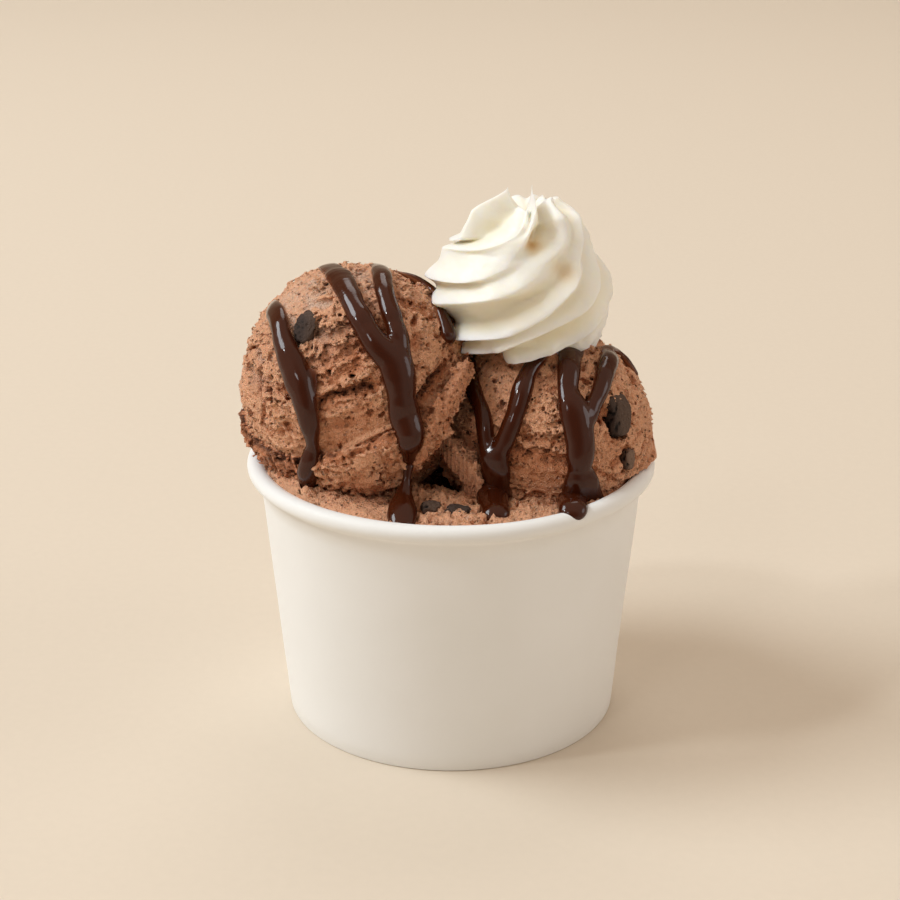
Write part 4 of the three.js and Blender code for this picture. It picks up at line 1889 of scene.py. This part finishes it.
@dataclass(frozen=True)
class IceCreamFinish(Finish):
    """Milk-chocolate ice cream, with painted light and shade.

    It is painted paler, in a frost tone, on the side facing the key light, with a painted
    highlight on raised relief and painted shade in its pits.
    """

    skin: Colour = (0.71, 0.285, 0.140)
    wiped: Colour = (0.57, 0.220, 0.098)
    # Painted highlight on raised, torn relief.
    raised_highlight: Colour = (0.88, 0.45, 0.26)
    # A frost tone, used as painted light on the side facing the key light.
    frosted_and_painted_light: Colour = (0.84, 0.60, 0.46)
    # Painted shade in pits and hollows.
    pit_shade: Colour = (0.12, 0.038, 0.016)

    def make(self, effects: Effects) -> Material:
        """Builds the material.

        Args:
            effects: the shared node groups.

        Returns:
            The material.
        """
        material, nodes, shader = self.start()
        grain = nodes.group(effects.grain, Scale=1050.0, Coarse=0.55, Fine=0.45, Pore=0.7)
        mottle = grain.outputs["Mottle"]
        drift = nodes.group(effects.drift, Scale=120.0).outputs["Drift"]
        depth = nodes.attribute("depth")
        smooth = nodes.attribute("smooth")
        tone = nodes.mix(nodes.ramp(smooth, 0.1, 0.9), self.skin, self.wiped)
        tone = nodes.mix(nodes.ramp(drift, 0, 1, 0, 0.35), tone, self.wiped)
        # Painted light: the paler frost tone towards the key light, broken up by the grain's
        # mottle.
        pale_mottle = nodes.ramp(mottle, 0, 1, 0.7, 1.0)
        frost_and_painted_light = nodes.math("MULTIPLY", nodes.attribute("frost_and_painted_light"), pale_mottle)
        tone = nodes.mix(frost_and_painted_light, tone, self.frosted_and_painted_light)
        deep = nodes.math("ADD", depth, nodes.ramp(mottle, 0, 1, -0.25, 0.25))
        # Painted highlight where the skin stands out above the ball.
        tone = nodes.mix(nodes.ramp(deep, 0.45, -0.55), tone, self.raised_highlight)
        # Painted shade where the skin lies deep: in pits and under the collar.
        tone = nodes.mix(nodes.ramp(deep, 0.70, 2.2), tone, self.pit_shade)
        # Painted shade in the fine pores of the grain, less where the skin is smooth.
        pore = nodes.ramp(grain.outputs["Height"], 0.42, 0.05, 0.0, 0.65)
        rough_share = nodes.ramp(smooth, 0, 1, 1.0, 0.15)
        tone = nodes.mix(nodes.math("MULTIPLY", pore, rough_share), tone, self.pit_shade)
        nodes.join(tone, shader.inputs["Base Color"])
        wet = nodes.ramp(drift, 0, 1, self.roughness - 0.08, self.roughness + 0.12)
        nodes.join(wet, shader.inputs["Roughness"])
        self.raise_from(nodes, shader, grain.outputs["Height"], 1.8)
        return material


@dataclass(frozen=True)
class FudgeFinish(Finish):
    """Glossy dark fudge, redder and lighter where it is thin."""

    deep: Colour = (0.046, 0.0085, 0.0022)
    middle: Colour = (0.11, 0.024, 0.007)
    thin: Colour = (0.27, 0.105, 0.046)

    def make(self, effects: Effects) -> Material:
        """Builds the material.

        Args:
            effects: the shared node groups.

        Returns:
            The material.
        """
        material, nodes, shader = self.start()
        drift = nodes.group(effects.drift, Scale=160.0).outputs["Drift"]
        uneven = nodes.ramp(drift, 0, 1, -0.2, 0.2)
        thick = nodes.math("ADD", nodes.attribute("thickness"), uneven)
        tone = nodes.mix(nodes.ramp(thick, 0.10, 0.45), self.thin, self.middle)
        tone = nodes.mix(nodes.ramp(thick, 0.40, 1.10), tone, self.deep)
        nodes.join(tone, shader.inputs["Base Color"])
        grain = nodes.group(effects.grain, Scale=420.0, Coarse=0.8, Fine=0.05)
        dull = nodes.ramp(drift, 0, 1, self.roughness - 0.04, self.roughness + 0.06)
        nodes.join(dull, shader.inputs["Roughness"])
        self.raise_from(nodes, shader, grain.outputs["Height"], 0.05)
        return material


@dataclass(frozen=True)
class CreamFinish(Finish):
    """Whipped cream: warm white.

    Painted shade makes it yellower in its valleys and golden in its hollows.
    """

    white: Colour = (0.92, 0.91, 0.85)
    warm: Colour = (0.92, 0.89, 0.79)
    # Painted shade in the valleys.
    valley_shade: Colour = (0.91, 0.86, 0.71)
    # Painted golden shade in the deepest hollows.
    golden_shade: Colour = (0.84, 0.62, 0.31)

    def make(self, effects: Effects) -> Material:
        """Builds the material.

        Args:
            effects: the shared node groups.

        Returns:
            The material.
        """
        material, nodes, shader = self.start()
        drift = nodes.group(effects.drift, Scale=70.0).outputs["Drift"]
        grain = nodes.group(effects.grain, Scale=700.0, Coarse=0.7, Fine=0.3)
        share = nodes.ramp(drift, 0, 1, 0.0, 0.35)
        tone = nodes.mix(share, self.white, self.warm)
        # Painted shade: yellower deeper in the valleys, golden in the listed hollows.
        tone = nodes.mix(nodes.ramp(nodes.attribute("depth"), 0.8, 3.0), tone, self.valley_shade)
        golden_shade_share = nodes.attribute("golden_shade_share")
        nodes.join(nodes.mix(golden_shade_share, tone, self.golden_shade), shader.inputs["Base Color"])
        self.raise_from(nodes, shader, grain.outputs["Height"], 0.10)
        return material


@dataclass(frozen=True)
class CookieFinish(Finish):
    """Dark chocolate cookie, with pale frost on the pieces that lie under the skin.

    Its pits are painted with shade.
    """

    crumb: Colour = (0.036, 0.020, 0.015)
    frost_and_painted_light: Colour = (0.46, 0.29, 0.20)
    # Painted shade in the pits.
    hole_shade: Colour = (0.008, 0.005, 0.004)

    def make(self, effects: Effects) -> Material:
        """Builds the material.

        Args:
            effects: the shared node groups.

        Returns:
            The material.
        """
        material, nodes, shader = self.start()
        grain = nodes.group(effects.grain, Scale=1100.0, Coarse=0.6, Fine=0.5, Pore=0.8)
        pale_mottle = nodes.ramp(grain.outputs["Mottle"], 0, 1, 0.75, 1.0)
        share = nodes.math("MULTIPLY", nodes.attribute("frost_and_painted_light"), pale_mottle)
        tone = nodes.mix(share, self.crumb, self.frost_and_painted_light)
        # Painted shade in the pits.
        tone = nodes.mix(nodes.attribute("depth"), tone, self.hole_shade)
        nodes.join(tone, shader.inputs["Base Color"])
        self.raise_from(nodes, shader, grain.outputs["Height"], 0.4)
        return material


@dataclass(frozen=True)
class PaperFinish(Finish):
    """Smooth coated white paper with a faint fibre tone."""

    white: Colour = (0.885, 0.890, 0.885)
    shade: Colour = (0.855, 0.860, 0.845)

    def make(self, effects: Effects) -> Material:
        """Builds the material.

        Args:
            effects: the shared node groups.

        Returns:
            The material.
        """
        material, nodes, shader = self.start()
        drift = nodes.group(effects.drift, Scale=45.0).outputs["Drift"]
        grain = nodes.group(effects.grain, Scale=900.0, Coarse=0.5, Fine=0.5)
        share = nodes.ramp(drift, 0, 1, 0.0, 0.6)
        nodes.join(nodes.mix(share, self.white, self.shade), shader.inputs["Base Color"])
        rough = nodes.ramp(grain.outputs["Mottle"], 0, 1, 0.48, 0.6)
        nodes.join(rough, shader.inputs["Roughness"])
        self.raise_from(nodes, shader, grain.outputs["Height"], 0.03)
        return material


@dataclass(frozen=True)
class FloorFinish(Finish):
    """The plain pale floor."""

    tone: Colour = (0.715, 0.625, 0.515)

    def make(self, effects: Effects) -> Material:
        """Builds the material.

        Args:
            effects: the shared node groups.

        Returns:
            The material.
        """
        material, nodes, shader = self.start()
        grain = nodes.group(effects.grain, Scale=400.0, Coarse=0.5, Fine=0.5)
        darker = tuple(0.985 * part for part in self.tone)
        tone = nodes.mix(grain.outputs["Mottle"], self.tone, darker)
        nodes.join(tone, shader.inputs["Base Color"])
        return material


# ---------------- the studio


@dataclass(frozen=True)
class Lamp:
    """A soft rectangular light: where it hangs, its size, its power and its colour."""

    name: str
    at: Triple
    size: float
    power: float
    colour: Colour
    aim: Triple = (0.0, 0.0, 60.0)

    def hang(self) -> bpy.types.Object:
        """Adds the light, turned towards its aim.

        Returns:
            The light's object.
        """
        data = bpy.data.lights.new(self.name, "AREA")
        data.shape = "DISK"
        data.size = self.size * MM
        data.energy = self.power
        data.color = self.colour
        lamp = bpy.data.objects.new(self.name, data)
        bpy.context.scene.collection.objects.link(lamp)
        at, aim = np.array(self.at), np.array(self.aim)
        lamp.location = at * MM
        down = unit(aim - at)
        yaw = math.atan2(down[1], down[0])
        pitch = math.acos(float(np.clip(-down[2], -1, 1)))
        lamp.rotation_euler = (pitch, 0, yaw - math.pi / 2)
        return lamp


@dataclass
class Studio:
    """Floor, camera and lights; the room's own light is dimmer round `dim_towards`."""

    floor_half: float = 3000.0
    floor_drop: float = 0.05
    floor_bend: float = 600.0
    lens: float = 80.0
    sensor: float = 36.0
    camera_at: Triple = (-0.26, -445.66, 237.46)
    camera_pitch: float = 21.21
    ambient: Colour = (1.0, 0.84, 0.68)
    ambient_strength: float = 0.63
    dim_towards: Triple = (0.0, -0.93, 0.36)
    dim_share: float = 0.30
    lamps: tuple[Lamp, ...] = (
        Lamp("key_light", (-2100.0, 200.0, 2250.0), 1500.0, 52.0, (0.87, 0.95, 1.0)),
        Lamp("raking_light", (-1500.0, -600.0, 1500.0), 250.0, 8.0, (0.90, 0.96, 1.0)),
        Lamp("front_light", (-900.0, -1500.0, 1500.0), 400.0, 2.5, (0.95, 0.97, 1.0)),
        Lamp("right_light", (1700.0, -200.0, 800.0), 900.0, 3.8, (0.95, 0.97, 1.0)),
        Lamp("top_light", (60.0, 1000.0, 1500.0), 900.0, 5.0, (1.0, 0.98, 0.96)),
    )

    def make_floor(self, finish: Material) -> bpy.types.Object:
        """The floor, which rises far behind the sundae as a smooth sweep.

        Args:
            finish: the floor's material.

        Returns:
            The floor.
        """
        rows = []
        for y in np.linspace(-self.floor_half, self.floor_half, 9):
            rows.append((y, -self.floor_drop))
        bend = self.floor_bend
        for turn in np.radians(np.linspace(10, 90, 9)):
            rows.append((self.floor_half + bend * math.sin(turn), bend * (1 - math.cos(turn))))
        rows.append((self.floor_half + bend, 3 * self.floor_half))
        across = np.linspace(-2.5 * self.floor_half, 2.5 * self.floor_half, 9)
        grid = np.array([[(x, y, z) for x in across] for y, z in rows])
        faces = sheet_faces(len(rows), len(across), closed=False)
        floor = Skin(grid.reshape(-1, 3), faces, np.zeros((0, 3), int)).build("floor")
        floor.data.materials.append(finish)
        return floor

    def make_camera(self) -> bpy.types.Object:
        """The camera, level from side to side and looking down at the sundae.

        Returns:
            The camera's object.
        """
        data = bpy.data.cameras.new("camera")
        data.lens = self.lens
        data.sensor_width = self.sensor
        data.clip_end = 100.0
        camera = bpy.data.objects.new("camera", data)
        camera.location = np.array(self.camera_at) * MM
        camera.rotation_euler = (math.radians(90 - self.camera_pitch), 0, 0)
        bpy.context.scene.collection.objects.link(camera)
        bpy.context.scene.camera = camera
        return camera

    def light(self) -> None:
        """Sets the room's soft light and hangs the lamps."""
        world = bpy.data.worlds.new("room")
        world.use_nodes = True
        nodes = Nodes(world.node_tree)
        background = world.node_tree.nodes["Background"]
        background.inputs["Strength"].default_value = self.ambient_strength
        place = nodes.add("ShaderNodeTexCoord").outputs["Generated"]
        dark = nodes.ramp(nodes.dot(place, self.dim_towards), 0.72, 0.96)
        dimmed = tuple(self.dim_share * part for part in self.ambient)
        nodes.join(nodes.mix(dark, self.ambient, dimmed), background.inputs["Color"])
        bpy.context.scene.world = world
        bpy.context.scene.view_settings.view_transform = "Standard"
        for lamp in self.lamps:
            lamp.hang()


# ---------------- this sundae

LEFT_SCOOP = ScoopShape(
    name="left_scoop_skin",
    centre=(-21.8, -3.0, 83.0),
    radius=27.3,
    pole=(-0.228, -0.365, 0.902),
    seed=3,
    tears=(
        Tear(0.94, -40, 75, 1.5),
        Tear(0.885, -25, 40, 1.1, 0.05),
        Tear(0.82, -50, 60, 1.5),
        Tear(0.76, -20, 30, 1.0, 0.05),
        Tear(0.68, -24, 24, 0.8, 0.04),
        Tear(0.57, -26, 26, 1.9),
        Tear(0.70, 60, 330, 1.0),
        Tear(0.36, 75, 320, 1.3),
    ),
    collar=Collar(0.12, -0.25, 3.1, 3.0, 0.17, 15, raised_by=0.24),
    smooth_patches=(
        Patch(0.28, -4, 0.12, 34, 1.0),
        Patch(0.93, -100, 0.09, 70, 0.9),
        Patch(0.52, -66, 0.12, 12, 0.8),
        Patch(0.30, -66, 0.10, 16, 0.6),
    ),
    dents=(
        Patch(0.37, 2, 0.05, 22, 0.5),
        Patch(0.564, -52, 0.02, 2.6, 1.6),
        Patch(0.576, -43, 0.02, 2.4, 1.5),
        Patch(0.632, -85, 0.02, 2.6, 1.4),
        Patch(0.604, -89, 0.02, 2.6, 1.3),
        Patch(0.311, -92, 0.03, 3.2, 1.5),
        Patch(0.923, -20, 0.012, 4.5, 1.2),
        Patch(0.892, -12, 0.012, 4.0, 1.2),
        Patch(0.826, 21, 0.015, 3.5, 1.3),
        Patch(0.813, 31, 0.015, 3.5, 1.3),
        Patch(0.769, 37, 0.015, 3.5, 1.3),
        Patch(0.902, 52, 0.012, 4.5, 1.0),
        Patch(0.805, 44, 0.015, 3.5, 1.1),
        Patch(0.709, 39, 0.015, 3.5, 1.0),
    ),
    collar_rises=(Patch(0, 60, 0, 26, -0.09),),
    marks=(
        Mark(((0.960, -17), (0.930, -23), (0.893, -24), (0.852, -24)), 0.5, 1.3),
        Mark(((0.707, -75), (0.675, -65), (0.596, -64), (0.528, -60), (0.442, -54), (0.345, -54),
              (0.246, -54)), 0.55, 1.8),
        Mark(((0.546, -16), (0.593, -9), (0.581, 0), (0.592, 9), (0.566, 16)), 0.8, 1.4),
        Mark(((0.43, -17), (0.455, -5), (0.48, 8), (0.516, 21)), 0.5, -0.8),
        Mark(((0.077, -17), (0.163, -7), (0.209, 1), (0.231, 9), (0.236, 17)), 0.5, -1.2),
        Mark(((-0.075, -16), (0.107, -1), (0.186, 16)), 0.5, -1.0),
        Mark(((0.103, 2), (0.0, 0), (-0.105, 0)), 2.0, -1.2, crumb=0.6),
        Mark(((0.115, -48), (0.125, -41), (0.145, -35)), 0.5, -0.7),
        Mark(((-0.414, -54), (-0.234, -41), (-0.142, -34), (-0.088, -20), (-0.028, -14)), 0.8,
             -0.7, crumb=0.5),
        Mark(((0.327, 58), (0.329, 50), (0.320, 42), (0.280, 35), (0.215, 30), (0.115, 26),
              (0.001, 22)), 1.3, 2.8),
        Mark(((-0.278, 31), (-0.238, 41), (-0.229, 56), (-0.093, 62)), 3.0, 4.0),
        Mark(((0.70, -85), (0.45, -78), (0.2, -72), (-0.05, -70)), 2.6, -0.7, flat=2.0),
    ),
    slabs=(
        Slab(((0.235, 61), (0.200, 49), (0.160, 41), (0.084, 32), (-0.021, 25), (-0.129, 21)), 2.7,
             2.4, 1.9, 0.5, 1.0),
    ),
    pockets=(Pocket((-33.6, -20.0, 102.0), (2.5, 2.5, 4.3), 20),),
)
RIGHT_SCOOP = ScoopShape(
    name="right_scoop_skin",
    centre=(22.3, -2.0, 69.3),
    radius=25.5,
    pole=(0.09, -0.55, 0.83),
    seed=8,
    tears=(
        Tear(0.81, -60, 40, 1.4),
        Tear(0.75, -35, 20, 1.1, 0.05),
        Tear(0.67, -50, 30, 1.6),
        Tear(0.60, -30, 14, 0.8, 0.04),
        Tear(0.42, 40, 120, 1.1),
        Tear(0.55, 100, 300, 1.2),
        Tear(0.275, -22, 10, 1.2, 0.04),
    ),
    collar=Collar(0.17, -0.05, 0.9, 1.0, 0.06, 130),
    smooth_patches=(
        Patch(0.48, -6, 0.13, 26, 1.0),
        Patch(0.62, 45, 0.14, 24, 0.8),
        Patch(0.12, 66, 0.16, 30, 1.0),
        Patch(0.05, 85, 0.20, 24, 1.0),
    ),
    dents=(
        Patch(0.48, -52, 0.07, 13, 1.7),
        Patch(0.708, 91, 0.02, 3.5, 1.4),
        Patch(0.962, 69, 0.012, 7, 1.3),
        Patch(0.925, 47, 0.015, 5, 1.3),
    ),
    marks=(
        Mark(((0.434, 78), (0.411, 70), (0.372, 63)), 0.5, 1.0),
        Mark(((0.550, 28), (0.456, 36), (0.345, 42)), 0.5, 0.9),
        Mark(((0.163, 51), (0.116, 60), (-0.024, 75), (0.034, 79)), 3.2, -1.2),
        Mark(((0.276, -18), (0.241, -6), (0.208, 5)), 0.45, -0.6),
        Mark(((0.820, 54), (0.763, 55), (0.691, 57)), 1.3, 2.2),
    ),
    slabs=(
        # Painted light: this slab lies in the left scoop's shade but is painted paler, as if lit.
        Slab(((0.342, -60), (0.346, -54), (0.358, -47), (0.345, -42), (0.300, -38), (0.240, -35)),
             4.0, 2.5, 4.6, 1.0, 1.9, 0.35),
    ),
    pockets=(
        Pocket((38.6, -19.2, 79.2), (3.9, 3.2, 5.0), 35),
        Pocket((40.6, -19.4, 69.9), (2.3, 2.2, 3.4), 30),
    ),
)
LEFT_STREAMS = (
    Stream(((170, 42, 2.5), (-149, 43, 5), (-131, 32, 5), (-120, 21, 6.8), (-113, 9, 5.6),
            (-110, -3, 4.4), (-110, -13, 3), (-112, -22, 4.7), (-115, -32, 4.9), (-120, -42, 4.8),
            (-133, -58, 4.5)), height=0.42),
    Stream(((136, 69, 4.5), (-103, 70, 5.8), (-85, 50, 5.3), (-77, 36, 5.8), (-69, 27, 7.4),
            (-67, 16, 7.2), (-67, 9, 6.6), (-66, 2, 7.2), (-65, -6, 6.4), (-65, -12, 4.6),
            (-64, -20, 2.4)), height=0.42),
    Stream(((57, 71, 4.5), (-51, 68, 4.7), (-62, 50, 4.7), (-63, 36, 5), (-66, 24, 6.2),
            (-67, 14, 6)), height=0.42),
    Stream(((38, 64, 2.4), (14, 49, 2.4), (-15, 44, 3), (-27, 32, 4))),
    Stream(((-112, 22, 3), (-111, 16, 3.6), (-111, 10, 3)), height=0.12),
)
RIGHT_STREAMS = (
    Stream(((161, 42, 4), (-173, 44, 4.3), (-146, 36, 4), (-130, 25, 4), (-123, 11, 4.6),
            (-118, 1, 7), (-118, -12, 6.4), (-119, -22, 4.8), (-120, -31, 4.4)), height=0.42),
    Stream(((-101, 66, 4.4), (-107, 54, 4.2), (-109, 43, 4.6), (-110, 32, 4.4), (-113, 19, 4.4),
            (-117, 8, 5)), height=0.42),
    Stream(((-45, 72, 6), (-71, 58, 5.4), (-78, 42, 4.9), (-76, 28, 7), (-75, 15, 6.6),
            (-76, 2, 5.8), (-77, -9, 7), (-78, -17, 6.4)), height=0.40),
    Stream(((-73, 4, 4), (-70, -8, 5), (-67, -15, 5))),
    Stream(((-8, 54, 4.5), (-39, 50, 4.6), (-57, 39, 4), (-66, 31, 4), (-72, 23, 4))),
    Stream(((-18, 61, 2), (16, 47, 2.2), (11, 41, 2.4), (8, 34, 2)), height=0.3),
)
FILL_RUNS = (
    Spill(((-9.6, -28.8, 71.8, 2.4), (-10.1, -30.5, 68.8, 2.0), (-10.7, -33, 65.8, 4.4),
           (-10.9, -36.5, 63.8, 6.6), (-10.9, -40.5, 61.9, 6))),
    Spill(((27.6, -25.5, 64.5, 6.4), (27.5, -29.0, 63.2, 7.0), (27.2, -33.0, 63.6, 7.2),
           (27.0, -36.8, 64.6, 6.4)), height=0.30),
    Spill(((9.0, -24.5, 65.5, 6.4), (9.3, -28.0, 63.6, 7.2), (9.6, -32.0, 63.2, 7.2),
           (9.9, -35.8, 63.4, 6.2)), height=0.30),
)
COOKIES = (
    CookieChunk("cookie_bit_left", "cookie_left", (-32.9, -19.7, 102.2), (2.1, 2.4, 4.2), 20, 11,
                0.1, LEFT_SCOOP, 0.1, 0.9),
    CookieChunk("cookie_bit_right", "cookie_right", (37.9, -17.2, 79.9), (3.3, 3.0, 4.8), 50, 12,
                0.15, RIGHT_SCOOP, 0.5, 0.8),
    CookieChunk("cookie_bit_right_low", "cookie_right_low", (40.6, -18.0, 69.2), (1.6, 2, 2.4), 30,
                13, 0.4, RIGHT_SCOOP, 0.2),
    CookieChunk("cookie_bit_front_left", "cookie_front_left", (-4.6, -32.4, 62.6), (2.4, 2.2, 1.9),
                15, 14, 0.2),
    CookieChunk("cookie_bit_front_right", "cookie_front_right", (1.4, -34.8, 62.6),
                (2.9, 2.3, 1.9), -20, 15, 0.05),
)
CREAM_CRESTS = (
    Crest(((86, -395), (90, -360), (94, -325), (97.5, -290), (101, -250), (104, -222), (107, -197),
           (108.8, -180), (110.3, -150), (111.3, -128), (112.7, -118), (114, -109), (115.3, -102),
           (118, -96), (121.1, -86), (124, -79), (129, -66)),
          (0.55, 0.42), (0.10, 0.42), 3.2, 0.45),
    Crest(((88, -340), (91, -310), (94, -275), (97, -240), (100, -205), (102.5, -180),
           (104.5, -158), (106.4, -137), (107.7, -122), (109.2, -106), (110.2, -99), (111.5, -91),
           (113.3, -82), (115.5, -75), (118, -58), (119.7, -51), (121.4, -46), (126.1, -45),
           (127.5, -30)), (0.70, 0.80), (0.15, 0.20), 0.3, 0.75),
    Crest(((86, -285), (89, -250), (92, -215), (95, -180), (97, -150), (98.5, -125), (99.5, -110),
           (100.4, -97), (103.3, -83), (105, -75), (107.3, -68), (109.3, -60), (110.9, -52),
           (112.7, -45), (114.5, -44), (118.3, -27), (122.8, -5), (126.6, 25)),
          (0.45, 0.45), (0.19, 0.19), -1.6, 0.90),
    Crest(((86, -240), (88, -215), (91, -180), (93, -150), (94.5, -130), (95.6, -108),
           (97.8, -97), (99.5, -87), (102, -71), (103.5, -58), (104.7, -48), (108.3, -35),
           (111.7, -25), (115.2, -17), (118, 0), (121, 30), (124, 55), (126.5, 65)),
          (0.40, 0.40), (0.19, 0.19), -2.6, 0.90),
    Crest(((86, -150), (90, -125), (94, -89), (95.5, -70), (97.7, -55), (98.5, -42), (100, -30),
           (104, -12), (108, 5), (112, 30), (115, 60), (118, 90), (122, 112), (127, 115)),
          (0.50, 0.50), (0.20, 0.20), -2.6, 0.80),
    Crest(((86, -100), (90, -75), (94, -45), (98, -15), (102, 10), (105, 25), (109, 55), (112, 85),
           (114, 115), (115, 140), (116, 165), (117, 185), (118.2, 202), (122.4, 203), (126, 200),
           (128.7, 181)), (0.50, 0.50), (0.28, 0.28), 1.8, 0.45),
    Crest(((86, -60), (90, -35), (94, -10), (98, 18), (102, 45), (106, 80), (109, 110), (112, 140),
           (114, 163), (115.5, 185), (116.5, 205), (117.7, 232), (119.1, 246), (121.4, 261),
           (123, 264), (126.7, 269), (129, 272)), (0.50, 0.50), (0.06, 0.06), -2.2, 0.80),
)


def main() -> None:
    """Builds the sundae over its frame and writes how big it came out."""
    logging.basicConfig(level=logging.INFO, format="%(name)s: %(message)s")
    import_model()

    effects = Effects(fine_grain_group(), soft_drift_group())
    ice_cream = IceCreamFinish(
        "milk_chocolate_ice_cream", 0.34, soft_depth=0.5, soft_share=0.12
    ).make(effects)
    fudge = FudgeFinish("dark_fudge", 0.10, refraction=1.4).make(effects)
    cream = CreamFinish(
        "whipped_cream", 0.42, soft_depth=2.0, soft_share=0.9, soft_radius=(1.0, 0.9, 0.7)
    ).make(effects)
    cookie = CookieFinish("dark_cookie", 0.85).make(effects)
    paper = PaperFinish("white_paper", 0.54).make(effects)

    studio = Studio()
    studio.make_camera()
    studio.make_floor(FloorFinish("pale_floor", 0.85).make(effects))
    studio.light()

    cup = PaperCup()
    makers = [
        lambda: cup.make_wall(paper),
        lambda: cup.make_base(paper),
        lambda: CupFill().make(ice_cream),
        lambda: Scoop(LEFT_SCOOP, "scoop_left").make(ice_cream),
        # Less painted light on the right scoop's side that faces the key light.
        lambda: Scoop(RIGHT_SCOOP, "scoop_right", painted_light_share=0.45).make(ice_cream),
        lambda: Fudge("left_fudge", "scoop_left", LEFT_SCOOP, LEFT_STREAMS).make(fudge),
        lambda: Fudge("right_fudge", "scoop_right", RIGHT_SCOOP, RIGHT_STREAMS).make(fudge),
        lambda: Fudge("fill_fudge", "ice_cream_fill", LEFT_SCOOP, FILL_RUNS).make(fudge),
        lambda: WhippedCream(CREAM_CRESTS).make(cream),
    ]
    makers += [lambda chunk=chunk: chunk.make(cookie) for chunk in COOKIES]
    for make in makers:
        piece = make()
        count = sum(len(face.vertices) - 2 for face in piece.data.polygons)
        LOG.info("%s: %d triangles", piece.name, count)


if __name__ == "__main__":
    main()
